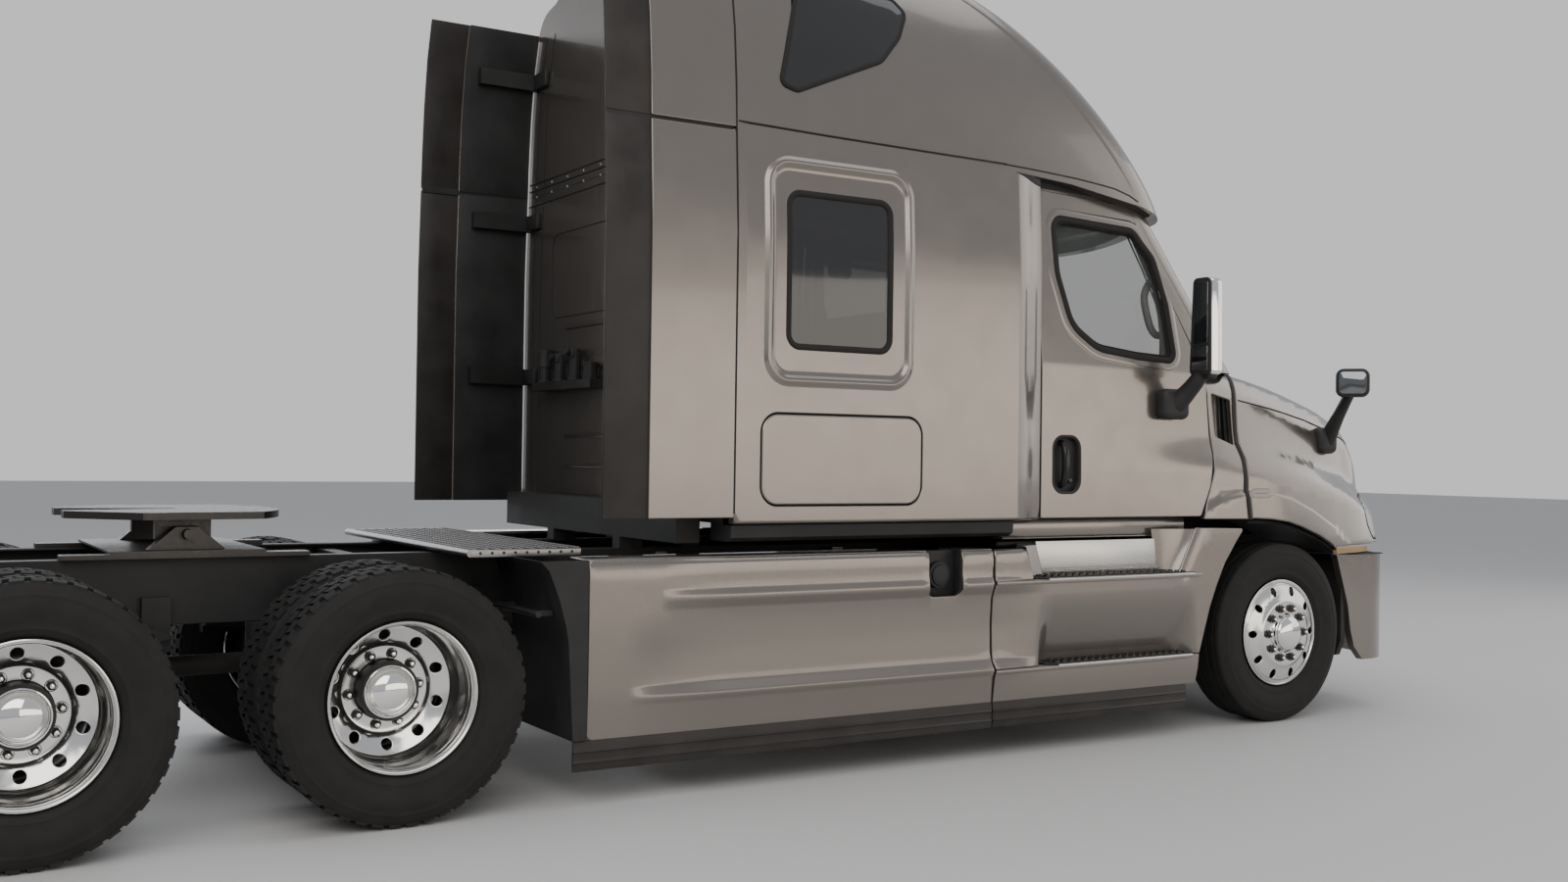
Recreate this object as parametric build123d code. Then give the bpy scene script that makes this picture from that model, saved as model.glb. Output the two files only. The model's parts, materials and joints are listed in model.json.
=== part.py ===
"""A long-bonnet semi truck tractor unit with a raised-roof sleeper and two driven rear axles.

Row frame: +X is forward, +Y is the truck's left side, +Z is up, millimetres. The origin is on the ground
under the middle of the truck. Inside this file every x is measured from the front axle, because the
wheelbase, the cab and the bonnet are all laid out from it, and export() moves each piece to the row frame.
Where a piece has a twin on the other side, the left one is drawn and its mirror image added.
"""

import os
from math import cos, radians, sin

from build123d import *

# Driving dimensions

FRONT_END = 1270
REAR_END = -7230
AXLE_TO_ORIGIN = -(FRONT_END + REAR_END) / 2
FIRST_DRIVE_AXLE = -5070
TANDEM_SPACING = 1321
DRIVE_AXLES = (FIRST_DRIVE_AXLE, FIRST_DRIVE_AXLE - TANDEM_SPACING)
TANDEM_CENTRE = FIRST_DRIVE_AXLE - TANDEM_SPACING / 2

TYRE_RADIUS = 505
TYRE_WIDTH = 285
RIM_RADIUS = 298
STEER_TYRE_Y = 1040
OUTER_DUAL_Y = 1076
INNER_DUAL_Y = 733
KINGPIN_Y = 880
TIE_ROD_X = -240
TIE_ROD_Y = KINGPIN_Y

BODY_BOTTOM = 1160
BODY_HALF_WIDTH = 1220
SLEEPER_REAR, SLEEPER_FRONT = -3620, -1960
ROOF_SPLIT = 2905
CAB_REAR = -1800
BELT = 1950
DOOR_TOP = 2870
HOOD_SEAM = -320
WALL = 50

FAIRING_TOP = 1025
FAIRING_BOTTOM = 270
SKIRT_BOTTOM = 145
FAIRING_REAR = -4300
FAIRING_SPLIT = -2130
PANEL_GAP = 10
SHUT_LINE = 7

RAIL_TOP = 1015
RAIL_BOTTOM = 745
RAIL_INNER_Y, RAIL_OUTER_Y = 352, 432
RAIL_THICKNESS = 10
RAIL_FRONT, RAIL_REAR = 745, -7200
# Where each crossmember's web stands, and how low it reaches
CROSSMEMBERS = (
    (-7190, 770), (-6480, 770), (-5730, 770), (-5000, 770),
    (-4300, 770), (-3300, 770), (-2100, 880), (628, 770),
)

FIFTH_X, FIFTH_PIVOT_Z, FIFTH_TOP = -5730, 1110, 1200
KINGPIN_RADIUS = 25.4
HOOD_PIVOT_X, HOOD_PIVOT_Z = 1200, 965

nodes = {}


# Small helpers


def block(x, y, z):
    """A box from its (low, high) ranges."""
    size = [b - a for a, b in (x, y, z)]
    centre = [(a + b) / 2 for a, b in (x, y, z)]
    return Pos(*centre) * Box(*size)


def prism_y(points, y_low, y_high):
    """A polygon of (x, z) points, pushed from y_low to y_high."""
    face = make_face(Polyline(*[(x, y_low, z) for x, z in points], close=True))
    return extrude(face, amount=y_high - y_low, dir=(0, 1, 0))


def prism_x(points, x_low, x_high):
    """A polygon of (y, z) points, pushed from x_low to x_high."""
    face = make_face(Polyline(*[(x_low, y, z) for y, z in points], close=True))
    return extrude(face, amount=x_high - x_low, dir=(1, 0, 0))


def prism_z(points, z_low, z_high):
    """A polygon of (x, y) points, pushed from z_low to z_high."""
    face = make_face(Polyline(*[(x, y, z_low) for x, y in points], close=True))
    return extrude(face, amount=z_high - z_low, dir=(0, 0, 1))


def rounded_prism_y(points, radius, y_low, y_high):
    """As prism_y, with its corners rounded."""
    path = FilletPolyline(*[(x, y_low, z) for x, z in points], radius=radius, close=True)
    return extrude(make_face(path), amount=y_high - y_low, dir=(0, 1, 0))


def rod(start, end, radius):
    """A round bar between two points."""
    a, b = Vector(*start), Vector(*end)
    along = (b - a).normalized()
    return extrude(Plane(origin=a, z_dir=along) * Circle(radius), amount=(b - a).length, dir=along)


def mirrored(shape):
    """The same piece on the other side of the truck."""
    return mirror(shape, about=Plane.XZ)


def pair(shape):
    """A piece and its twin, as solids that do not touch."""
    return Compound(children=[*shape.solids(), *mirrored(shape).solids()])


def together(*shapes):
    """Several solids in one node."""
    return Compound(children=[s for shape in shapes for s in shape.solids()])


SIDES = (("left", lambda shape: shape), ("right", mirrored))


def outline_face(edges):
    return Face(Wire(edges))


def largest(shape):
    """The main solid, without any sliver that a cut left."""
    return shape.solids().sort_by(SortBy.VOLUME)[-1]


def lathe(profile, centre_y=0.0):
    """A ring turned about the Y axis from a closed list of (y, radius) points."""
    face = make_face(Polyline(*[(r, y + centre_y, 0) for y, r in profile], close=True))
    return revolve(face, axis=Axis.Y)


# Cab and sleeper body, as an outer solid and an inner one that is smaller all round

SLEEPER_SIDE = ((1220, BODY_BOTTOM), (1220, 2450), (1195, ROOF_SPLIT))


def sleeper_solid(inset):
    """Box of the sleeper, with a slight lean above mid height."""
    low = BODY_BOTTOM + inset
    right = [(y - inset, z) for y, z in SLEEPER_SIDE]
    right[0] = (right[0][0], low)
    half = [(y, z) for y, z in right]
    profile = half + [(-y, z) for y, z in reversed(half)]
    rear = SLEEPER_REAR + inset
    solid = prism_x(profile, rear, CAB_REAR)
    y = BODY_HALF_WIDTH - inset
    # The side turns in to the narrower cab over a smooth S ahead of the sleeper.
    bends = [(-2060, y), (-1960, y - 22), (-1870, y - 62), (CAB_REAR, y - 72)]
    corner = [(-2060, y + 60), *bends, (CAB_REAR, y + 60)]
    wedge = prism_z(corner, BODY_BOTTOM - 10, ROOF_SPLIT + 10)
    return solid - wedge - mirrored(wedge)


# x, side at the sill, side at the fender shoulder, side above the shoulder, side at the belt
CAB_SIDE = (
    (CAB_REAR, 1150, 1150, 1149, 1148),
    (-1150, 1152, 1151, 1143, 1138),
    (HOOD_SEAM, 1190, 1184, 1136, 1124),
)
SHOULDER_LOW, SHOULDER_HIGH = 1430, 1590


def lower_cab_section(row, inset):
    x, sill, shoulder, above, belt = (row[0], *[w - inset for w in row[1:]])
    low = BODY_BOTTOM + inset
    top = BELT + (0 if inset == 0 else 1)
    side = [(sill, low), (shoulder, SHOULDER_LOW), (above, SHOULDER_HIGH), (belt, top)]
    left = [(x, y, z) for y, z in side]
    right = [(x, -y, z) for y, z in reversed(side)]
    return make_face(Polyline(*left, *right, close=True))


def lower_cab_solid(inset):
    sections = [lower_cab_section(row, inset) for row in CAB_SIDE]
    if inset:
        sections[-1] = sections[-1].moved(Location((-inset, 0, 0)))
        sections[0] = sections[0].moved(Location((-inset, 0, 0)))
    return loft(sections, ruled=True)


# z, half width behind the door, corner start (x, y), windscreen edge (x, y), nose x
GREENHOUSE = (
    (BELT, 1148, -480, 1126, -300, 1000, -130),
    (DOOR_TOP, 1082, -1120, 1048, -950, 885, -775),
)


def plan_section(row, inset, rear, lift=0.0):
    """A level outline: straight back and sides, rounded corners and a bowed front."""
    z, w_rear, xa, ya, xc, yc, nose = row
    w_rear, ya, yc = w_rear - inset, ya - inset, yc - inset * 0.8
    xa, xc, nose = xa - inset * 0.3, xc - inset * 0.9, nose - inset
    bulge = ((xa + xc) / 2 + (ya - yc) * 0.2, (ya + yc) / 2 + (xc - xa) * 0.2)
    z += lift
    left_corner = ThreePointArc((xa, ya, z), (*bulge, z), (xc, yc, z))
    front = ThreePointArc((xc, yc, z), (nose, 0, z), (xc, -yc, z))
    right_corner = ThreePointArc((xc, -yc, z), (bulge[0], -bulge[1], z), (xa, -ya, z))
    right = Line((xa, -ya, z), (rear, -w_rear, z))
    back = Line((rear, -w_rear, z), (rear, w_rear, z))
    left = Line((rear, w_rear, z), (xa, ya, z))
    return outline_face([left_corner, front, right_corner, right, back, left])


def greenhouse_solid(inset):
    lifts = (0, 0) if inset == 0 else (-2, 2)
    rear = CAB_REAR - (0 if inset == 0 else inset)
    return loft([plan_section(row, inset, rear, lift) for row, lift in zip(GREENHOUSE, lifts)], ruled=True)


def body_solid(inset):
    """Cab and sleeper below the roof split, joined."""
    return sleeper_solid(inset) + lower_cab_solid(inset) + greenhouse_solid(inset)


# Roof fairing: z, half width, corner start (x, y), corner end (x, y), nose x
ROOF = (
    (2700, 1197, -1080, 1150, -800, 860, -570),
    (2850, 1196, -1130, 1128, -830, 846, -622),
    (3100, 1186, -1310, 1090, -980, 815, -810),
    (3350, 1164, -1560, 1055, -1210, 775, -1060),
    (3610, 1122, -1900, 1005, -1540, 720, -1410),
    (3810, 1060, -2260, 930, -1880, 650, -1760),
    (3915, 960, -2600, 830, -2230, 570, -2120),
    (3960, 800, -3000, 680, -2640, 460, -2540),
)
# The seam between the roof fairing and the body below it, from the rear, as (x, z)
ROOF_SEAM = ((SLEEPER_REAR - 20, ROOF_SPLIT), (-2060, ROOF_SPLIT), (-1600, 2880), (-1100, 2815), (-500, 2700))


def roof_solid(inset):
    rows = list(ROOF)
    if inset:
        # The inner skin stops short of the top by the wall's thickness.
        rows = [(z - inset * max(0.0, (z - 3100) / 860), *rest) for z, *rest in rows]
    return loft([plan_section(row, inset, SLEEPER_REAR + inset) for row in rows])


def below_roof_seam():
    return prism_y([*ROOF_SEAM, (300, 2500), (300, 900), (SLEEPER_REAR - 20, 900)], -1400, 1400)


# Door outline as (x, z), and the window in it
DOOR = (
    (-1790, 1167), (-1790, 2790), (-1165, 2745), (-1010, 2600), (-640, 2010),
    (-590, 1900), (-560, 1500), (-590, 1330), (-660, 1167),
)
DOOR_WINDOW = (
    (-1690, 2668), (-1120, 2640), (-985, 2490), (-885, 2290), (-825, 2000),
    (-1100, 2010), (-1400, 2040), (-1580, 2150), (-1672, 2420),
)
SLEEPER_WINDOW = ((-3350, 1955), (-2790, 1955), (-2790, 2650), (-3350, 2650))
LUGGAGE_DOOR = ((-3490, 1240), (-2595, 1240), (-2595, 1657), (-3490, 1657))
LUGGAGE_CORNER = 90
HANDLE_RECESS = ((-1711, 1295), (-1525, 1295), (-1525, 1586), (-1711, 1586))
RECESS_DEPTH = 28
ROOF_WINDOW = ((-3325, 3160), (-3245, 3135), (-2790, 3330), (-2700, 3500), (-2790, 3620), (-3290, 3700))
# Sections as (y, z) of the sills below the sleeper and the cab
SLEEPER_SILL = ((1000, 1160), (1188, 1160), (1182, 1100), (1150, 1082), (1000, 1082))
CAB_SILL = ((850, 1160), (1082, 1160), (1085, 1125), (1070, 1072), (1020, 1060), (850, 1060))
# Windscreen opening as (y, z)
SCREEN = ((-945, 1985), (945, 1985), (850, 2775), (-850, 2775))


def window_prism(points, radius):
    return rounded_prism_y(points, radius, 600, 1300)


def roof_window_prism():
    return rounded_prism_y(ROOF_WINDOW, 35, 900, 1300)


# Bonnet with its wheel arches: one loft of cross-sections from the cowl to the nose
# x, fender side low, fender side top (y, z), valley (y, z), bonnet side (y, z), shoulder (y, z), crown z
HOOD = (
    (HOOD_SEAM, 1190, 1184, 1400, 1128, 1590, 1100, 1830, 1000, 1965, 2010),
    (100, 1200, 1190, 1360, 1070, 1540, 1030, 1770, 920, 1915, 1965),
    (500, 1172, 1150, 1290, 990, 1460, 945, 1690, 840, 1840, 1890),
    (850, 1095, 1065, 1210, 900, 1380, 860, 1610, 765, 1755, 1800),
    (1080, 985, 950, 1150, 830, 1300, 800, 1500, 715, 1655, 1700),
    (1190, 860, 830, 1110, 760, 1220, 740, 1400, 660, 1555, 1600),
)
HOOD_BOTTOM = 985
HOOD_GAP = 9
COWL_SIDE_X = -300
COWL_MIDDLE_X = -70
HOOD_WALL = 30
# The wheel's opening as (x, z): flat above the tyre and falling away ahead of it
ARCH = ((-700, 1150), (95, 1142), (228, 1101), (366, 1040), (450, 985), (470, 900), (-700, 900))
GRILLE_MOUTH = ((-600, 1010), (600, 1010), (560, 1440), (470, 1520), (-470, 1520), (-560, 1440))
GRILLE_BACK, GRILLE_FRONT = 1150, 1180
GRILLE_RIM = 28
FIN_PITCH, FIN_HEIGHT = 62, 14
# Outlines of a headlamp seen from above, as (x, y), and from the side, as (x, z)
LAMP_PLAN = ((880, 1300), (880, 930), (1040, 830), (1110, 700), (1220, 700), (1220, 1300))
LAMP_SIDE = ((895, 1272), (1000, 1290), (1220, 1290), (1220, 1010), (1055, 1010), (975, 1090))


def hood_section(row, inset):
    x, low, ys, zs, yv, zv, yb, zb, yk, zk, crown = row
    bottom = HOOD_BOTTOM if inset == 0 else HOOD_BOTTOM - 60
    side = [(low, bottom), (ys, zs), (yv, zv), (yb, zb), (yk, zk)]
    side = [(y - inset, z - (inset if i > 2 else 0)) for i, (y, z) in enumerate(side)]
    crown -= inset
    left = [(x, y, z) for y, z in side]
    right = [(x, -y, z) for y, z in reversed(side)]
    edges = [Line(a, b) for a, b in zip(left, left[1:])]
    edges.append(ThreePointArc(left[-1], (x, 0, crown), right[0]))
    edges += [Line(a, b) for a, b in zip(right, right[1:])]
    edges.append(Line(right[-1], left[0]))
    return outline_face(edges)


def hood_solid(inset):
    rows = list(HOOD)
    if inset:
        rows[0] = (rows[0][0] - 100, *rows[0][1:])
        rows[-1] = (rows[-1][0] - inset, *rows[-1][1:])
    return loft([hood_section(row, inset) for row in rows])


# Body panels, cut from the hollow shells


def right_half():
    return block((-9000, 3000), (-1500, 0), (0, 5000))


def door_opening(gap):
    """The door's outline, widened by the shut line, more at the latch edge, which swings back a little."""
    face = make_face(Polyline(*[(x, 0, z) for x, z in DOOR], close=True))
    if gap:
        face = offset(face, gap)
    side = extrude(face.moved(Location((0, 900, 0))), amount=400, dir=(0, 1, 0))
    latch = block((-1790 - 10, -1700), (900, 1300), (1175, 2780))
    return side + latch if gap else side


def build_body():
    shell = body_solid(0) - body_solid(WALL)
    shell = shell & below_roof_seam()
    door_hole = door_opening(SHUT_LINE)
    luggage_hole = rounded_prism_y(LUGGAGE_DOOR, LUGGAGE_CORNER, 1000, 1300)
    sleeper_window = window_prism(SLEEPER_WINDOW, 55)
    screen_hole = prism_x(SCREEN, -1200, 100)

    floor_zone = block((-4000, 0), (-1300, 1300), (BODY_BOTTOM - 5, BODY_BOTTOM + WALL))
    rear_zone = block((SLEEPER_REAR - 5, SLEEPER_REAR + WALL), (-1300, 1300), (BODY_BOTTOM + WALL, 3000))
    side_zone = block((SLEEPER_REAR + WALL, SLEEPER_FRONT), (0, 1300), (BODY_BOTTOM + WALL, 3000))
    front_zone = block((SLEEPER_FRONT, 200), (-1300, 1300), (BODY_BOTTOM + WALL, 3000))

    # Four posts stand the cab on the rails.
    foot_y, foot_z = (RAIL_INNER_Y, RAIL_OUTER_Y), (RAIL_TOP, BODY_BOTTOM + 5)
    posts = [block((x, x + 90), foot_y, foot_z) for x in (-3450, -720)]
    floor = (shell & floor_zone) - door_hole - mirrored(door_hole)
    under = posts + [prism_x(SLEEPER_SILL, SLEEPER_REAR + 5, -2000), prism_x(CAB_SILL, -1990, -700)]
    nodes["cab_floor"] = floor.fuse(*under, *[mirrored(piece) for piece in under])
    nodes["sleeper_rear_wall"] = shell & rear_zone
    nodes["sleeper_sides"] = pair((shell & side_zone) - luggage_hole - sleeper_window)

    half = (shell & front_zone & right_half()) - mirrored(door_hole) - screen_hole
    nodes["cab_frame"] = half.fuse(mirrored(half)) + cowl_solid()
    nodes["windshield"] = (greenhouse_solid(8) - greenhouse_solid(16)) & screen_hole

    pane = (sleeper_solid(12) - sleeper_solid(22)) & sleeper_window
    roof_pane = (roof_solid(6) - roof_solid(18)) & roof_window_prism()
    nodes["sleeper_glass"] = together(pair(pane), pair(roof_pane))

    door_panel = (lower_cab_solid(0) + greenhouse_solid(0)) - (lower_cab_solid(WALL) + greenhouse_solid(WALL))
    door_panel = door_panel & door_opening(0)
    window = window_prism(DOOR_WINDOW, 45)
    glass = largest((greenhouse_solid(18) - greenhouse_solid(26)) & window)
    inside = block((-3000, 500), (0, 1085), (1100, 1300)) + block((-3000, 500), (0, 960), (1100, 3000))
    recess = rounded_prism_y(HANDLE_RECESS, 60, 1000, 1300) - lower_cab_solid(RECESS_DEPTH)
    door = door_panel - window - inside - recess
    for side, turn in SIDES:
        nodes[f"door_{side}"] = turn(door)
        nodes[f"door_glass_{side}"] = turn(glass)

    low, high = LUGGAGE_DOOR[0], LUGGAGE_DOOR[2]
    low, high = [v + SHUT_LINE for v in low], [v - SHUT_LINE for v in high]
    lid_corners = (low, (high[0], low[1]), high, (low[0], high[1]))
    lid_outline = rounded_prism_y(lid_corners, LUGGAGE_CORNER - SHUT_LINE, 1000, 1300)
    lid = (sleeper_solid(0) - sleeper_solid(30)) & lid_outline
    for side, turn in SIDES:
        nodes[f"luggage_door_{side}"] = turn(lid)

    half = (roof_solid(0) - roof_solid(WALL)) & right_half()
    half = half - below_roof_seam() - mirrored(roof_window_prism())
    nodes["roof_fairing"] = half.fuse(mirrored(half))


# Bonnet, grille and lamps


def cowl_zone(gap):
    """Plan region behind the bonnet's bowed rear edge."""
    side, middle, z = COWL_SIDE_X + gap, COWL_MIDDLE_X + gap, 900
    front = ThreePointArc((side, -1120, z), (middle, 0, z), (side, 1120, z))
    edges = [
        front,
        Line((side, 1120, z), (side, 1400, z)),
        Line((side, 1400, z), (-1200, 1400, z)),
        Line((-1200, 1400, z), (-1200, -1400, z)),
        Line((-1200, -1400, z), (side, -1400, z)),
        Line((side, -1400, z), (side, -1120, z)),
    ]
    return extrude(outline_face(edges), amount=1200, dir=(0, 0, 1))


def cowl_solid():
    """The scuttle between the windscreen and the bonnet's rear edge, in line with the bonnet."""
    shell = hood_solid(0) - hood_solid(HOOD_WALL)
    cowl = shell & cowl_zone(0) & block((HOOD_SEAM - 30, 200), (-1300, 1300), (1200, 2100))
    return cowl - greenhouse_solid(-1)


def hinge_lug():
    """A lug below the bonnet's front wall, bored for the pin that it tilts on."""
    eye = Pos(HOOD_PIVOT_X, 440, HOOD_PIVOT_Z) * Rot(90, 0, 0) * Cylinder(25, 20)
    arm = block((HOOD_PIVOT_X - 35, HOOD_PIVOT_X), (430, 450), (HOOD_PIVOT_Z, 1005))
    bore = Pos(HOOD_PIVOT_X, 440, HOOD_PIVOT_Z) * Rot(90, 0, 0) * Cylinder(14, 30)
    return eye + arm - bore


def build_hood():
    shell = hood_solid(0) - hood_solid(HOOD_WALL)
    arch = prism_y(ARCH, 500, 1400)
    mouth = prism_x(GRILLE_MOUTH, 900, 1400)
    lamp_zone = prism_y(LAMP_SIDE, 700, 1300) & prism_z(LAMP_PLAN, 1000, 1300)
    lamp_zone = lamp_zone & block((800, 1185), (700, 1300), (1000, 1300))
    hood = shell - arch - mirrored(arch) - mouth - lamp_zone - mirrored(lamp_zone) - cowl_zone(HOOD_GAP)
    hood = largest(hood)
    nodes["hood"] = hood.fuse(hinge_lug(), mirrored(hinge_lug()))
    nodes["headlamps"] = pair(hood_solid(1) & lamp_zone)

    # Level fins and one upright fill the mouth, inside a rim.
    mouth_plate = prism_x(GRILLE_MOUTH, GRILLE_BACK, GRILLE_FRONT)
    face = make_face(Polyline(*[(GRILLE_BACK, y, z) for y, z in GRILLE_MOUTH], close=True))
    grille = mouth_plate - extrude(offset(face, -GRILLE_RIM), amount=30, dir=(1, 0, 0))
    fins = [block((1152, 1178), (-560, 560), (z, z + FIN_HEIGHT)) for z in range(1070, 1510, FIN_PITCH)]
    fins.append(block((GRILLE_BACK, 1176), (-12, 12), (1010, 1530)))
    nodes["grille"] = grille.fuse(*[fin & mouth_plate for fin in fins])

    head = rounded_box((470, 600), (1150, 1290), (1868, 2015), 35)
    arm = rod((640, 955, 1640), (545, 1215, 1890), 20)
    foot = rounded_box((560, 720), (880, 985), (1520, 1680), 25)
    nodes["hood_mirrors"] = pair(largest(head.fuse(arm, foot) - hood_solid(0)))


def rounded_box(x, y, z, radius):
    shape = block(x, y, z)
    return fillet(shape.edges(), radius)


# Bumper, fairings, steps

BUMPER_BOTTOM, BUMPER_TOP = 300, 930
BUMPER_WALL = 45
BUMPER_REAR = 530
# What the bumper's rear edge leaves free for the wheel, as (x, z)
BUMPER_CUT = (
    (500, BUMPER_TOP), (BUMPER_REAR, BUMPER_TOP), (640, 625), (665, 480), (700, 380), (790, 290), (500, 290),
)


def bumper_plan(inset):
    """Plan outline of the bumper: bowed front, rounded corners, sides running back to the wheel arch."""
    rear, side, corner_x, corner_y, nose = BUMPER_REAR, 1125, 1060, 1020, 1270
    side, nose = side - inset, nose - inset
    corner_x, corner_y = corner_x - inset * 0.8, corner_y - inset * 0.8
    z = BUMPER_BOTTOM
    bend_x, bend_y = 810, side - 5
    left = Line((rear, side, z), (bend_x, bend_y, z))
    corner = ThreePointArc((bend_x, bend_y, z), (corner_x - 70, corner_y + 58, z), (corner_x, corner_y, z))
    front = ThreePointArc((corner_x, corner_y, z), (nose, 0, z), (corner_x, -corner_y, z))
    right_corner = ThreePointArc(
        (corner_x, -corner_y, z), (corner_x - 70, -corner_y - 58, z), (bend_x, -bend_y, z))
    right = Line((bend_x, -bend_y, z), (rear, -side, z))
    back = Line((rear, -side, z), (rear, side, z))
    return outline_face([left, corner, front, right_corner, right, back])


def bumper_bracket():
    """The arm from the rail's end to the bumper, with the pin that the bonnet tilts on."""
    y_low, y_high = 390, 425
    inside = extrude(bumper_plan(BUMPER_WALL), amount=BUMPER_TOP - BUMPER_BOTTOM, dir=(0, 0, 1))
    arm = block((RAIL_FRONT, 1250), (y_low, y_high), (770, 900)) & inside
    riser = [(1100, 890), (1175, 890), (1175, 935), (1213, 960), (1190, 974), (1100, 940)]
    eye = rod((HOOD_PIVOT_X, y_low, HOOD_PIVOT_Z), (HOOD_PIVOT_X, y_high, HOOD_PIVOT_Z), 15)
    pin = rod((HOOD_PIVOT_X, y_high, HOOD_PIVOT_Z), (HOOD_PIVOT_X, 458, HOOD_PIVOT_Z), 12)
    return arm.fuse(prism_y(riser, y_low, y_high), eye, pin)


def build_bumper():
    height = BUMPER_TOP - BUMPER_BOTTOM
    bumper = extrude(bumper_plan(0), amount=height, dir=(0, 0, 1))
    bumper = bumper - extrude(bumper_plan(BUMPER_WALL), amount=height, dir=(0, 0, 1))
    bumper = bumper - block((500, 640), (-1080, 1080), (BUMPER_BOTTOM - 10, BUMPER_TOP + 10))
    mouth = block((1000, 1400), (-430, 430), (430, 700))
    fog = block((1000, 1400), (650, 880), (450, 600))
    nodes["front_bumper"] = bumper - mouth - fog - mirrored(fog) - prism_y(BUMPER_CUT, -1300, 1300)


# Outer profile of a tank fairing as (y, z): a crease low down and a rounded one near the top
TANK_PROFILE = (
    (1196, 270), (1212, 405), (1222, 425), (1222, 440), (1186, 480), (1180, 640), (1188, 800),
    (1216, 838), (1216, 858), (1204, 885), (1204, 1000), (1180, 1025),
)
FAIRING_WALL = 25
# Edge of the guard between the tank fairing and the first drive wheel, as (x, z)
GUARD_EDGE = (
    (-4520, 1020), (-4482, 981), (-4437, 868), (-4405, 756), (-4391, 676), (-4379, 468), (-4368, 276),
)


def side_panel(profile, x_low, x_high):
    outer = list(profile)
    inner = [(y - FAIRING_WALL, z) for y, z in reversed(profile)]
    return prism_x(outer + inner, x_low, x_high)


def build_fairings():
    panel = side_panel(TANK_PROFILE, FAIRING_REAR, FAIRING_SPLIT - PANEL_GAP / 2)
    recess = rounded_prism_y(((-2530, 800), (-2330, 800), (-2330, 1100), (-2530, 1100)), 30, 1100, 1300)
    filler = block((-2520, -2340), (1120, 1150), (810, 1020))
    lid = block((FAIRING_REAR, FAIRING_SPLIT - PANEL_GAP / 2), (1000, 1180), (1005, 1025))
    panel = (panel + lid) - recess
    nodes["tank_fairings"] = pair(largest(panel + filler))

    front_edge = [(-355, 1105), (-419, 1026), (-504, 915), (-567, 797), (-619, 679), (-690, 450), (-715, 270)]
    rear = FAIRING_SPLIT + PANEL_GAP / 2
    outline = [(rear, 270), (rear, 1025), (-1890, 1025), (-1880, 1105), *front_edge]
    side = prism_y(outline, 1195, 1220)
    kick = prism_y([(-1875, 868), (-850, 868), (-725, 1037), (-1875, 1037)], 1190, 1230)
    lower = block((-1800, -760), (1190, 1230), (430, 800))
    sill = block((-1880, -600), (1150, 1240), (1060, 1160))
    side = side - kick - lower - sill - block((-1875, -750), (1190, 1230), (868, 884))
    back = block((-1900, -740), (1090, 1110), (300, 1040))
    shelves = [block((-1890, -745), (1100, 1215), (z, z + 18)) for z in (412, 850)]
    step = side + back + shelves[0] + shelves[1]
    ends = [block((x, x + 15), (1100, 1200), (300, 1000)) for x in (-1905, -760)]
    nodes["step_fairings"] = pair(largest(step + ends[0] + ends[1]))

    treads = []
    for z, x_low, x_high in ((868, -1860, -765), (430, -1790, -775)):
        tread = block((x_low, x_high), (1112, 1213), (z, z + 8))
        starts = range(x_low + 12, x_high - 20, 42)
        teeth = [block((x, x + 14), (1116, 1209), (z + 8, z + 13)) for x in starts]
        treads.append(tread.fuse(*teeth))
    nodes["step_treads"] = together(*[pair(t) for t in treads])
    skirt = block((-4360, FAIRING_SPLIT - 5), (1188, 1196), (SKIRT_BOTTOM, FAIRING_BOTTOM))
    skirt_front = block((FAIRING_SPLIT + 5, -790), (1196, 1204), (SKIRT_BOTTOM, FAIRING_BOTTOM))
    return together(pair(skirt), pair(skirt_front))


# Height and inner and outer half width of each stay behind a side extender
EXTENDER_STAYS = ((1890, 1150, 1200), (2760, 1132, 1185), (3550, 1056, 1110))
# y and top of each coupling on the shelf
COUPLINGS = ((200, 1930), (390, 2010), (590, 1990), (790, 2020))
EXTENDER_PROFILE = ((1220, 1190), (1220, 2450), (1195, 2895), (1195, 2910), (1186, 3100), (1164, 3350),
                    (1122, 3610), (1060, 3810))


def rear_wall_fittings():
    """Behind the sleeper: the connectors' shelf, a beam across the rails, the side extenders' stays."""
    shelf = block((SLEEPER_REAR - 85, SLEEPER_REAR), (120, 880), (1800, 1845))
    couplings = [rod((SLEEPER_REAR - 45, y, 1840), (SLEEPER_REAR - 45, y, z), 30) for y, z in COUPLINGS]
    beam = block((-3790, -3670), (-1000, 1000), (1070, 1245))
    rails = ((RAIL_INNER_Y, RAIL_OUTER_Y), (-RAIL_OUTER_Y, -RAIL_INNER_Y))
    feet = [block((-3790, -3670), y, (RAIL_TOP, 1070)) for y in rails]
    stays = []
    for z, y_inner, y_outer in EXTENDER_STAYS:
        stay = block((-3960, SLEEPER_REAR - 5), (y_inner, y_outer), (z - 45, z + 45))
        stay = stay - nodes["side_extenders"]
        stays += [largest(stay), mirrored(largest(stay))]
    return [shelf.fuse(*couplings), beam.fuse(*feet), *stays]


def build_extenders(skirts):
    low, high = EXTENDER_PROFILE[:3], EXTENDER_PROFILE[3:]
    panels, strips = [], []
    for part in (low, high):
        inner = [(y - 28, z) for y, z in reversed(part)]
        panels.append(prism_x(list(part) + inner, -4040, SLEEPER_REAR))
        strip = [(y - 8, z) for y, z in part]
        strip_in = [(y - 22, z) for y, z in reversed(part)]
        strips.append(prism_x(strip + strip_in, -4250, -4040))
    nodes["side_extenders"] = together(*[pair(p) for p in panels])
    nodes["rubber_edges"] = together(skirts, *[pair(p) for p in strips])


# Wheels


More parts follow.
